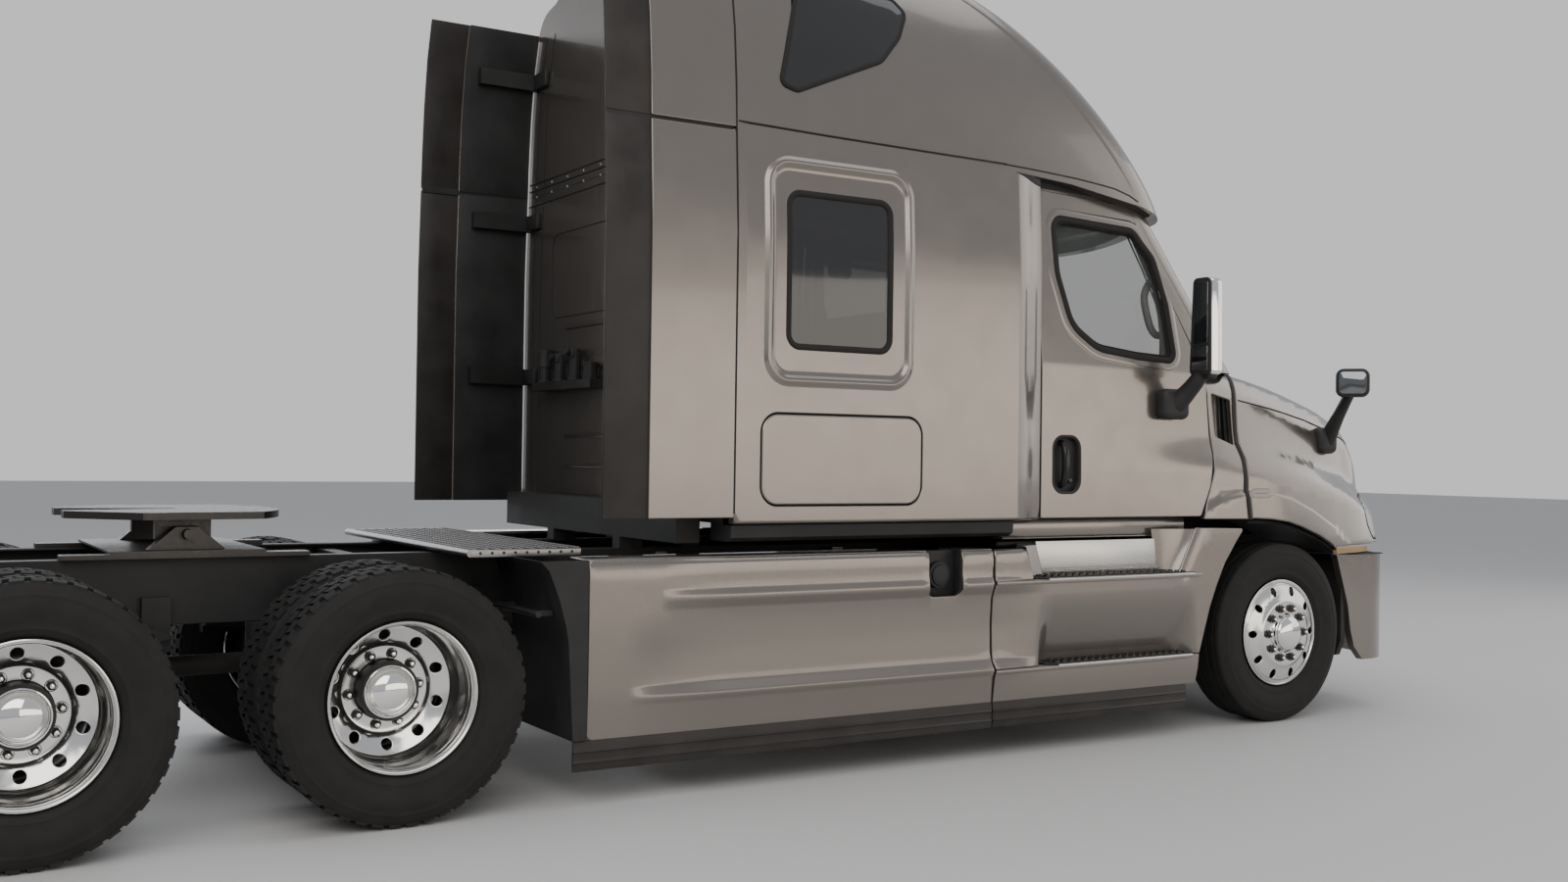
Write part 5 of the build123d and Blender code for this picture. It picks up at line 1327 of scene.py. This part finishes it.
def hood_surface(x, v):
    """Bonnet point: v is the height up to the shoulder, and from there on also the way in to the middle."""
    row = curve(x, HOOD_X, HOOD_ROWS)
    low, fy, fz, vy, vz, by, bz, sy, sz, crown = row.T
    base = np.full_like(low, HOOD_BOTTOM)
    stops = [base, fz, vz, bz, sz]
    widths = [low, fy, vy, by, sy]

    def raw(v):
        y = widths[0].copy()
        for k in range(4):
            y += (widths[k + 1] - widths[k]) * np.clip((v - stops[k]) / (stops[k + 1] - stops[k]), 0.0, 1.0)
        way = np.clip(v - sz, 0.0, None)
        y -= way
        z = np.minimum(v, sz) + (crown - sz) * (1.0 - (1.0 - np.clip(way / sy, 0.0, 1.0)) ** 2)
        return y, z

    total_y, total_z = np.zeros_like(x), np.zeros_like(x)
    for d in (-1.0, -0.6, -0.2, 0.2, 0.6, 1.0):
        y, z = raw(v + HOOD_EASE * d)
        total_y += y / 6
        total_z += z / 6
    apart = distance_to(np.stack([x, v], axis=1), FLARE_LINE, closed=False)
    below = v < np.interp(x, FLARE_LINE[:, 0], FLARE_LINE[:, 1], left=0.0, right=0.0)
    flare = smooth(np.where(below, apart, -apart) / FLARE_WIDTH + 0.5)
    total_y += FLARE_DEPTH * flare * smooth((0.66 - x) / 0.3)
    return total_y, total_z


def hood_lift(points, depth):
    x, v = points[:, 0], points[:, 1]
    y, z = hood_surface(x, v)
    y1, z1 = hood_surface(x, v + 0.002)
    away = unit(np.stack([z1 - z, y - y1], axis=1))
    return np.stack([x, y - away[:, 0] * depth, z - away[:, 1] * depth], axis=1)


# How far the bonnet's rear edge steps back, by height
STEP_BACK_AT = (1.15, 1.3, 1.49, 1.57, 1.81, 1.9, 1.99)
STEP_BACK = (0.0, 0.02, 0.015, 0.045, 0.045, 0.012, 0.0)


def hood_edge_x(y, v):
    """x of the bonnet's bowed rear edge at a half width; beside the cowl's slot it steps back."""
    step = np.interp(v, STEP_BACK_AT, STEP_BACK)
    return -0.283 - step + 0.23 * (1.0 - (np.clip(y, 0.0, 1.12) / 1.12) ** 2)


def surface_edge(low, high, count):
    """(x, v) along the bonnet's bowed rear edge."""
    edge = []
    for v in np.linspace(low, high, count):
        x = -0.29
        for _ in range(4):
            y, _ = hood_surface(np.array([x]), np.array([v]))
            x = float(hood_edge_x(y, v)[0])
        if y[0] > 0.004:
            edge.append((x, v))
    return edge


def flare_lines(low, high):
    """Lines along both sides of the flare's edge, between two values of x."""
    lines = [beside(FLARE_LINE[1:-2], FLARE_WIDTH * d, closed=False) for d in (-0.5, 0.0, 0.5)]
    return [line[(line[:, 0] > low) & (line[:, 0] < high)] for line in lines]


def make_hood():
    rear = surface_edge(1.153, 3.0, 70)
    xs = np.linspace(HOOD_FRONT, rear[-1][0] + 0.03, 16)
    middle = list(zip(xs, np.interp(xs, HOOD_X, HOOD_ROWS[:, 8] + HOOD_ROWS[:, 7]) + 0.0115))
    arch = ARCH_LINE[:-1]
    outline = [ARCH_LINE[-1], (HOOD_FRONT, HOOD_BOTTOM)] + middle + rear[::-1] + arch
    outline = rounded(outline, [0.03, 0.02] + [0.0005] * (len(middle) + len(rear)) + [0.1] * len(arch), 0.035)
    lamp = rounded(HEADLAMP, [0.02, 0.05, 0.05, 0.04, 0.03, 0.03, 0.05, 0.06, 0.06], 0.02)
    skin = panel(hood_lift, outline, [lamp], flare_lines(-0.24, 1.0), 0.035, 0.010, 0.03, hole_flange=0.03)
    whole = skin.with_mirror()

    # The front wall round the grille
    front = HOOD_ROWS[-1]
    section = [(front[0], HOOD_BOTTOM), *front[1:9].reshape(4, 2)]
    arc = [(front[7] * math.cos(a), front[8] + (front[9] - front[8]) * math.sin(a))
           for a in np.linspace(0.3, math.pi - 0.3, 9)]
    face = section + arc + [(-y, z) for y, z in reversed(section)]
    face = rounded(face, [0.02, 0.04, 0.04, 0.04, 0.05] + [0.2] * 9 + [0.05, 0.04, 0.04, 0.04, 0.02], 0.04)
    mouth = [(-0.6, 1.01), (0.6, 1.01), (0.56, 1.44), (0.47, 1.52), (-0.47, 1.52), (-0.56, 1.44)]
    mouth = rounded(mouth, [0.03, 0.03, 0.05, 0.05, 0.05, 0.05], 0.04)

    def wall(points, depth):
        y, z = points[:, 0], points[:, 1]
        return np.stack([1.19 + 0.012 * (1 - (y / 0.86) ** 2) - depth, y, z], axis=1)

    whole.include(panel(wall, face, [mouth], [], 0.07, 0.012, 0.03, hole_flange=0.045))
    whole.make("bonnet_skin", "hood", PAINT, replaces="hood")

    under = Shape()
    for y in (0.43, -0.45):
        under.include(box((1.165, y, 0.955), (1.2, y + 0.02, 1.0), 0.004))
        under.include(lathe([(0.02, 0.014), (0.02, 0.025), (0.0, 0.025), (0.0, 0.014)], (1.2, y, 0.965), 28))
    under.make("bonnet_hinge_lugs", "hood", CHASSIS)

    # The arch has a black liner behind its painted lip.
    path = divided([(-0.29, 1.149), *ARCH_LINE, (0.45, 0.955)], 0.04)
    liner = sheet_of([[(x, y, z + 0.006) for x, z in path] for y in (1.185, 1.16, 0.95, 0.7)])
    lip = [[(x, y, z - 0.004 - 0.02 * (y > 1.17)) for x, z in path] for y in (0.7, 0.95, 1.16, 1.172)]
    liner.include(sheet_of(lip, flip=True))
    liner.make_both("arch_liners", "hood", BLACK)

    # The gap between crown and side is a dark seam.
    xs = np.linspace(-0.29, 1.12, 40)
    seam = np.stack([xs, np.interp(xs, BONNET_SEAM[:, 0], BONNET_SEAM[:, 1])], axis=1)
    seam = bead(hood_lift, seam, -0.0055, 0.0055, 0.004, closed=False, fullness=0.3, steps=4)
    seam.make_both("bonnet_seams", "hood", RUBBER)

    marker_line = rounded([(0.45, 0.94), (0.85, 0.94), (0.85, 0.98), (0.45, 0.98)], 0.008, 0.03)
    panel(hood_lift, marker_line, [], [], 0.05, 0.004, 0.03).make_both("side_marker_strips", "hood", AMBER)
    make_headlamps(lamp)


def make_headlamps(outline):
    lens = panel(hood_lift, grown(outline, -0.003), [], [], 0.03, 0.004, 0.02)
    lens.make_both("headlamp_lenses", "hood", LAMP_GLASS, replaces="headlamps")
    gasket = bead(hood_lift, outline, -0.008, 0.002, 0.001, fullness=0.5)
    gasket.make_both("headlamp_gaskets", "hood", RUBBER)
    backing = panel(sunk(hood_lift, 0.045), grown(outline, -0.004), [], [], 0.03, 0.003, 0.01)
    backing.make_both("headlamp_reflectors", "hood", CHROME)
    bowls = Shape()
    for x, y, z, r in ((1.02, 0.88, 1.175, 0.062), (1.1, 0.8, 1.12, 0.05)):
        profile = [(-0.05, 0.012), (-0.045, 0.02), (-0.02, r * 0.6), (0.0, r * 0.9), (0.012, r), (0.018, r),
                   (0.018, r + 0.004)]
        bowls.include(lathe(profile, (x, y, z), 32))
        bowls.include(lathe([(0.0, 0.0), (-0.004, 0.012), (-0.02, 0.014)], (x, y, z), 20))
    bowls.make_both("headlamp_bowls", "hood", CHROME)


# The cab's side ahead of the door, from the sill up to the belt, and the slot behind the bonnet
COWL_REAR = [(-0.649, 1.152), (-0.586, 1.32), (-0.554, 1.42), (-0.547, 1.5), (-0.576, 1.88), (-0.596, 1.955)]
COWL_SLOT = [(-0.515, 1.605), (-0.37, 1.56), (-0.372, 1.66), (-0.372, 1.81), (-0.538, 1.842)]


def make_cowl():
    """The cab's side between door and bonnet, with its dark slot, and the rubber strip behind the bonnet."""
    strip_line = np.array(surface_edge(1.15, 2.93, 60)) - [0.0195, 0.0]
    strip = bead(hood_lift, strip_line, -0.0175, 0.0175, 0.012, sink=0.012, closed=False, fullness=0.45)
    strip.make_both("cowl_strips", "chassis", STRIP)

    front = [(x - 0.014, v) for x, v in strip_line[::-1] if v < 2.06]
    radii = [0.004, 0.12, 0.12, 0.15, 0.1, 0.01, 0.02, 0.01] + [0.001] * len(front)
    outline = rounded(COWL_REAR + [(-0.5, 1.99), (-0.3, 2.06)] + front, radii, 0.03)
    slot = rounded(COWL_SLOT, [0.02, 0.012, 0.02, 0.008, 0.012], 0.025)
    skin = panel(hood_lift, outline, [slot], flare_lines(-0.6, -0.38), 0.04, 0.006, 0.03, hole_flange=0.03)
    ramp = []
    for x in np.linspace(-0.552, -0.455, 7):
        points = np.stack([np.full(8, x), np.linspace(1.575, 1.865, 8)], axis=1)
        ramp.append(hood_lift(points, 0.006 + 0.024 * float(smooth((x + 0.55) / 0.09))))
    skin.include(sheet_of(ramp))
    skin.make_both("cowl_skins", "chassis", PAINT)
    back = panel(sunk(hood_lift, 0.034), grown(slot, 0.012), [], [], 0.05, 0.003, 0.01)
    for x in (-0.45, -0.41):
        louvre = hood_lift(np.stack([np.full(8, x), np.linspace(1.57, 1.85, 8)], axis=1), 0.026)
        back.include(tube(louvre, 0.007, 8))
    edge = np.array(divided(COWL_REAR, 0.05)) - [0.0035, 0.0]
    back.include(tube(hood_lift(edge, 0.0055), 0.0038, 8), slot=1)
    back.make_both("cowl_vents", "chassis", GLOSS_BLACK, BLACK)


# Seam below the roof fairing from the rear, and its lower edge above the door
ROOF_SEAM = [(-3.61, 2.9375), (-3.14, 2.929), (-2.6, 2.924), (-2.08, 2.92), (-2.04, 2.93), (-1.885, 2.927),
             (-1.731, 2.921), (-1.556, 2.914), (-1.413, 2.903), (-1.287, 2.891), (-1.18, 2.865),
             (-1.12, 2.838)]
ROOF_EDGE = np.array([(-2.06, 2.905), (-1.6, 2.88), (-1.1, 2.815), (-0.96, 2.7883)])
ROOF_EDGE_WIDTH = np.array([(-3.62, 1.196), (-1.13, 1.128), (-1.0, 1.092), (-0.924, 1.047)])
# Lower edge above the door of the black sheet that paints the shade under the roof's overhang
OVERHANG_SHADE_LOW = np.array([(-2.03, 2.889), (-1.79, 2.849), (-1.6, 2.85), (-1.31, 2.844), (-1.12, 2.826),
                     (-0.97, 2.782)])


def make_roof_trim():
    """The seam below the roof fairing, and a black sheet from the door up to the roof's lower edge and under
    it: painted shade for the shadow under the roof's overhang.
    """
    x, z = np.array(divided(ROOF_SEAM, 0.06)).T
    y = np.where(x < -2.06, sleeper_y(x, z), roof_side_y(x, z))
    gasket = tube(np.stack([x, y - 0.0005, z], axis=1), 0.0042, 8)
    z = np.array([1.21, 1.8, 2.3, 2.4, 2.5, 2.6, 2.934, 3.1, 3.35, 3.61, 3.81])
    x = np.full(len(z), SLEEPER_REAR - 0.001)
    y = np.where(z < ROOF_SPLIT, sleeper_y(x, z), roof_side_y(x, z))
    gasket.include(tube(np.stack([x, y - 0.001, z], axis=1), 0.005, 8))
    gasket.make_both("roof_gaskets", "chassis", RUBBER)

    # The black sheet lies over the painted cab side and the roof's painted underside: painted shade under the
    # overhang.
    rows = []
    for x in np.concatenate([np.linspace(-2.02, -1.8, 10), np.linspace(-1.79, -0.965, 30)]):
        low, high, width = [np.interp(x, *line.T) for line in (OVERHANG_SHADE_LOW, ROOF_EDGE, ROOF_EDGE_WIDTH)]
        outer = width - 0.008
        side = sleeper_y if x < CAB_REAR else cab_y
        walls = np.minimum(side(np.array([x, x]), np.array([low, high])) + 0.004, outer)
        rows.append([(x, walls[0] - 0.03, low - 0.001), (x, walls[0], low), (x, walls[1], high - 0.006),
                     (x, outer, high - 0.0015), (x, outer, high + 0.004)])
    sheet_of(rows, flip=True).make_both("roof_slots", "chassis", BLACK)


def make_mirrors():
    """Tall door mirrors in a two-part shell, and the bonnet's round-cornered ones."""
    head = [(1.262, 1.923), (1.407, 1.923), (1.4, 2.437), (1.282, 2.437)]
    head = rounded(head, [0.025, 0.025, 0.032, 0.03], 0.05)
    arm = [(-0.89, 1.15, 1.755), (-0.875, 1.19, 1.775), (-0.85, 1.25, 1.84), (-0.825, 1.31, 1.92),
           (-0.815, 1.33, 1.99)]
    mount = extruded(head, -0.862, -0.846, "x", 0.004)
    mount.include(tube(arm, [0.06, 0.058, 0.046, 0.04, 0.036], 16, 0, 2))
    mount.include(box((-0.985, 1.125, 1.688), (-0.79, 1.22, 1.852), 0.04, 5))
    mount.include(box((-0.85, 1.28, 1.9), (-0.775, 1.39, 1.945), 0.02, 3))
    mount.make_pair("door_mirror_mounts", "door", BLACK, replaces="door_mirror")
    extruded(head, -0.847, -0.758, "x", 0.022).make_pair("door_mirror_shell", "door", CHROME)
    glass = box((-0.8655, 1.292, 2.09), (-0.859, 1.388, 2.41), 0.003)
    glass.include(box((-0.8655, 1.282, 1.945), (-0.859, 1.39, 2.075), 0.003))
    glass.make_pair("door_mirror_glass", "door", MIRROR)

    # The bonnet's mirrors are turned outwards, so that their glass faces rearwards and to the side.
    turned = Matrix.Translation((0.536, 1.218, 1.936)) @ Matrix.Rotation(math.radians(-38.0), 4, "Z")
    head = rounded([(-0.094, -0.083), (0.094, -0.083), (0.094, 0.083), (-0.094, 0.083)], 0.045, 0.03)
    arm = [(0.655, 0.95, 1.6), (0.645, 0.985, 1.66), (0.6, 1.08, 1.76), (0.56, 1.17, 1.86),
           (0.545, 1.212, 1.9)]
    mounts = Shape().include(extruded(head, -0.034, 0.05, "x", 0.018), turned)
    mounts.include(tube(arm, [0.05, 0.046, 0.034, 0.03, 0.028], 14, 0, 2))
    mounts.include(box((0.56, 0.885, 1.522), (0.72, 0.988, 1.68), 0.04, 5))
    mounts.make_both("bonnet_mirror_mounts", "hood", BLACK, replaces="hood_mirrors")
    face = extruded(grown(head, -0.0195), -0.0365, -0.033, "x", 0.001)
    Shape().include(face, turned).make_both("bonnet_mirror_glass", "hood", MIRROR)


WALL_X = SLEEPER_REAR - 0.001
# Pressed lines and ribs across the sleeper's back, as height and half width
WALL_SEAMS = ((2.982, 1.165), (2.943, 1.165), (2.858, 1.17))
WALL_RIBS = ((2.14, 0.62), (1.92, 0.55), (1.56, 0.62), (1.4, 0.62))
WALL_RECESS = rounded([(-0.81, 2.2), (0.81, 2.2), (0.81, 2.66), (-0.81, 2.66)], 0.07, 0.05)


def make_rear_wall():
    """Seams, ribs and corner strips on the sleeper's back."""
    def wall(points, depth):
        return np.stack([np.full(len(points), WALL_X) + depth, points[:, 0], points[:, 1]], axis=1)

    dark, metal, ribs = Shape(), Shape(), Shape()
    for z, half in WALL_SEAMS:
        dark.include(box((WALL_X - 0.0025, -half, z - 0.0035), (WALL_X + 0.002, half, z + 0.0035), 0.0015, 1))
    dark.include(bead(wall, WALL_RECESS, -0.004, 0.004, 0.002, fullness=0.4, steps=4))
    for z, half in WALL_RIBS:
        ribs.include(box((WALL_X - 0.007, -half, z - 0.012), (WALL_X + 0.004, half, z + 0.012), 0.006, 3))
    zs = np.concatenate([np.linspace(1.21, 2.4, 4), np.linspace(2.5, 3.78, 10)])
    xs = np.full(len(zs), WALL_X - 0.003)
    on_sleeper = sleeper_y(np.full_like(zs, -3.3), zs)
    ys = np.where(zs < ROOF_SPLIT, on_sleeper, np.interp(zs, ROOF_SIDE[:, 0], ROOF_SIDE[:, 1])) - 0.034
    for side in (-1, 1):
        metal.include(tube(np.stack([xs, side * ys, zs], axis=1), 0.011, 10))
        for inward in (0.1, 0.21):
            dark.include(tube(np.stack([xs + 0.004, side * ys - side * inward, zs], axis=1), 0.003, 6))
    for k in range(-5, 6):
        for z in (2.905, 2.96):
            y = k * 0.21
            low, high = (WALL_X - 0.004, y - 0.006, z - 0.006), (WALL_X, y + 0.006, z + 0.006)
            metal.include(box(low, high, 0.002, 1))
    dark.make("rear_wall_seams", "chassis", RUBBER)
    ribs.make("rear_wall_ribs", "chassis", PAINT)
    metal.make("rear_wall_corner_strips", "chassis", CHROME)


# Couplings for the trailer's lines on the shelf behind the cab: y, top, and whether it is an electric socket
COUPLINGS = ((0.2, 1.93, True), (0.39, 2.01, False), (0.59, 1.99, False), (0.79, 2.02, True))
# Stays of the side extenders: height, and half width at their inner end
STAYS = ((1.89, 1.0), (2.76, 0.985), (3.55, 0.9))


def make_couplings():
    feet, heads = Shape(), Shape()
    x = SLEEPER_REAR - 0.045
    for y, top, socket in COUPLINGS:
        if socket:
            heads.include(tube([(x, y, top - 0.09), (x, y, top + 0.002)], 0.037, 18))
            low, high = (x - 0.04, y - 0.008, top - 0.015), (x + 0.042, y + 0.008, top + 0.006)
            heads.include(box(low, high, 0.004, 2))
        else:
            low, high = (x - 0.034, y - 0.026, top - 0.05), (x + 0.034, y + 0.026, top + 0.003)
            heads.include(box(low, high, 0.012, 3))
            heads.include(tube([(x, y, top - 0.03), (x - 0.055, y, top - 0.012)], 0.02, 14))
        feet.include(tube([(x, y, 1.846), (x, y, 1.86)], 0.04, 18))
        for bolt_y in (y - 0.06, y + 0.06):
            feet.include(tube([(x, bolt_y, 1.845), (x, bolt_y, 1.852)], 0.008, 6))
    for z, y in STAYS:
        for low, high in ((-y - 0.155, -y), (y, y + 0.155)):
            heads.include(box((SLEEPER_REAR - 0.028, low, z - 0.043), (WALL_X, high, z + 0.043), 0.006, 2))
    heads.include(feet).make("trailer_couplings", "chassis", BLACK)


DECK_REAR, DECK_HALF, DECK_PITCH, NOSING_Z = -4.705, 0.9, 0.052, 1.038


def make_deck():
    """The grating behind the cab: toothed ridges between side plates, and a round nosing at the back."""
    grating = Shape()
    grating.include(box((DECK_REAR, -0.885, 1.037), (-4.203, 0.885, 1.041), 0.0015, 1), slot=1)
    rim_section = [(-0.001, 0.0065), (0.0006, 0.0065), (0.0006, 0.0)]
    for side in (-1, 1):
        low, high = sorted((side * 0.874, side * DECK_HALF))
        grating.include(box((DECK_REAR, low, 1.02), (-4.2, high, 1.053), 0.004))
        section = rim_section if side > 0 else [(-y, r) for y, r in reversed(rim_section)]
        for x in np.arange(-4.66, -4.2, DECK_PITCH):
            grating.include(lathe(section, (x, side * DECK_HALF, NOSING_Z), 12), slot=1)
    grating.include(tube([(-4.702, -0.899, NOSING_Z), (-4.702, 0.899, NOSING_Z)], 0.0165, 16))
    # Each ridge's body is black and only its cap and teeth are metal: painted shade for the dark faces
    # between the lit ridge tops.
    for x in np.arange(-4.675, -4.205, DECK_PITCH):
        grating.include(box((x, -0.876, 1.039), (x + 0.016, 0.876, 1.052), 0.003, 1), slot=1)
        grating.include(box((x + 0.004, -0.876, 1.0505), (x + 0.012, 0.876, 1.053), 0.001, 1))
        for y in np.arange(-0.86, 0.86, 0.038):
            grating.include(box((x + 0.001, y, 1.051), (x + 0.015, y + 0.012, 1.056), 0.0015, 1))
    for y in (-0.43, 0.35):
        grating.include(box((-4.48, y, 1.015), (-4.44, y + 0.08, 1.037), 0.003, 1))
    grating.make("deck_grating", "chassis", GRATING, BLACK, replaces="deck_plate")


def make_bumper_trim():
    """Lamps in the bumper, the air intake's bars and the splash guards between bumper and wheels."""
    box((1.13, 0.655, 0.455), (1.165, 0.875, 0.595), 0.02).make_both("fog_lamps", "chassis", LAMP_GLASS)
    bars = Shape()
    for z in np.arange(0.47, 0.68, 0.055):
        bars.include(box((1.2, -0.432, z), (1.225, 0.432, z + 0.016), 0.005, 2))
    bars.make("intake_bars", "chassis", BLACK)
    guard = [(0.74, 0.33), (1.07, 0.33), (1.105, 0.42), (1.105, 0.925), (0.74, 0.925)]
    extruded(guard, 0.598, 0.64, "x", 0.006).make_both("splash_guards", "chassis", BLACK)
    seam = box((0.63, 1.02, 0.926), (0.95, 1.128, 0.934), 0.003, 2)
    seam.make_both("bumper_top_strips", "chassis", BLACK)


# Grab handle beside the windscreen, and the lining of the pillar next to it
GRAB_HANDLE = [(-0.83, 0.965, 2.46), (-0.885, 0.985, 2.44), (-0.927, 0.985, 2.363), (-0.903, 0.985, 2.274),
               (-0.876, 0.985, 2.201), (-0.838, 0.985, 2.155), (-0.77, 0.965, 2.155)]
PILLAR_LINING = [(-1.055, 2.76), (-0.99, 2.76), (-0.64, 2.12), (-0.61, 1.99), (-0.772, 1.99), (-0.772, 2.208),
                 (-0.8, 2.298), (-0.829, 2.394), (-0.87, 2.466)]


def make_cab_trim():
    """What shows through the windows: grab handles, pillar linings and sun visors."""
    trim = Shape()
    for side in (-1, 1):
        trim.include(tube([(x, side * y, z) for x, y, z in GRAB_HANDLE], 0.02, 12, 0, 3))
        low, high = sorted((side * 0.955, side * 0.965))
        trim.include(extruded(PILLAR_LINING, low, high, "y", 0.005))
        trim.include(box((-1.25, side * 0.52 - 0.3, 2.74), (-1.0, side * 0.52 + 0.3, 2.76), 0.008, 2))
    trim.make("grab_handles", "chassis", TRIM)


# Solids that only get eased edges, and the edges' width
EASED = {
    "front_bumper": 0.012, "side_extenders": 0.005, "sleeper_rear_wall": 0.004, "frame_rails": 0.003,
    "crossmembers": 0.002, "fifth_wheel_base": 0.003, "fifth_wheel_plate": 0.004, "fuel_tanks": 0.006,
    "chassis_boxes": 0.01, "mudguards": 0.003, "rear_lamp_bar": 0.004, "rear_suspension": 0.004,
    "front_axle_beam": 0.004, "front_springs": 0.002, "grille": 0.003, "dashboard": 0.02,
    "engine_block": 0.01, "radiator": 0.006,
}
# Where the dressed panels take the place of a solid's outer skin: x, half width and z ranges
CAB_FRAME_COVERED = ((-0.66, 0.2), (0.93, 1.4), (1.1, 1.957))
CAB_FLOOR_COVERED = ((-3.64, -0.3), (1.12, 1.25), (1.155, 1.22))


def make_eased():
    for node, width in EASED.items():
        eased_copy(node, width)
    eased_copy("cab_frame", 0.005, front_of=CAB_REAR - 0.001, without=CAB_FRAME_COVERED)
    eased_copy("cab_floor", 0.004, without=CAB_FLOOR_COVERED)
    eased_copy("seats", 0.03, segments=3)
    eased_copy("bunk", 0.05, segments=3)


# Floor, backdrop and light

FLOOR_COLOR, BACKDROP_COLOR = (0.6, 0.59, 0.58, 1.0), (0.74, 0.74, 0.74, 1.0)
SKY_COLOR, SKY_STRENGTH = (0.62, 0.64, 0.68, 1.0), 0.75
FLOOR_REACH = 60.0


def make_stage():
    """A matt floor, and a world that lights the truck softly and shows the camera a plain backdrop."""
    floor = new_material("floor")
    floor.set(color=FLOOR_COLOR, rough=0.55)
    mesh = bpy.data.meshes.new("floor")
    corners = [(x * FLOOR_REACH, y * FLOOR_REACH, 0) for x, y in ((-1, -1), (1, -1), (1, 1), (-1, 1))]
    mesh.from_pydata(corners, [], [(0, 1, 2, 3)])
    mesh.materials.append(floor.owner)
    plane = bpy.data.objects.new("floor", mesh)
    bpy.context.collection.objects.link(plane)

    world = bpy.data.worlds.new("studio")
    bpy.context.scene.world = world
    n = Nodes(world)
    n.tree.nodes.clear()
    rays = n.add("ShaderNodeLightPath").outputs
    seen = n.math("MAXIMUM", rays["Is Camera Ray"], rays["Is Transmission Ray"])
    sky = n.add("ShaderNodeBackground", {0: SKY_COLOR, 1: SKY_STRENGTH}).outputs[0]
    backdrop = n.add("ShaderNodeBackground", {0: BACKDROP_COLOR, 1: 1.0}).outputs[0]
    mix = n.add("ShaderNodeMixShader", {0: seen, 1: sky, 2: backdrop}).outputs[0]
    n.add("ShaderNodeOutputWorld", {0: mix})


# name, place from the front axle, point aimed at, size (x, y), power, colour
LAMPS = (
    ("key", (-9.0, -9.0, 7.5), (-3.0, 0.0, 1.6), (11.0, 7.0), 620.0, (1.0, 0.97, 0.93)),
    ("low_side", (2.5, -14.0, 2.2), (-2.5, 0.0, 1.4), (18.0, 3.6), 360.0, (1.0, 0.9, 0.78)),
    ("top", (-3.0, 0.0, 9.5), (-3.0, 0.0, 0.0), (14.0, 9.0), 420.0, (0.95, 0.97, 1.0)),
    ("front", (9.0, -3.0, 4.5), (0.0, 0.0, 1.4), (10.0, 7.0), 230.0, (1.0, 0.95, 0.89)),
    ("left", (-3.0, 12.0, 4.0), (-3.0, 0.0, 1.6), (16.0, 5.0), 420.0, (0.95, 0.97, 1.0)),
)


def make_lamps():
    for name, place, aim, size, power, color in LAMPS:
        data = bpy.data.lights.new(name, "AREA")
        data.shape, data.energy, data.color = "RECTANGLE", power, color
        data.size, data.size_y = size
        lamp = bpy.data.objects.new(name, data)
        bpy.context.collection.objects.link(lamp)
        lamp.location = at(*place)
        lamp.rotation_mode = "QUATERNION"
        lamp.rotation_quaternion = (at(*aim) - at(*place)).to_track_quat("-Z", "Y")


make_camera()
make_stage()
make_lamps()
dress_frame()
make_sleeper_sides()
make_doors()
make_tank_fairings()
make_step_fairings()
make_skirts()
make_wheels()
make_hood()
make_cowl()
make_roof_trim()
make_mirrors()
make_rear_wall()
make_couplings()
make_deck()
make_bumper_trim()
make_cab_trim()
make_eased()
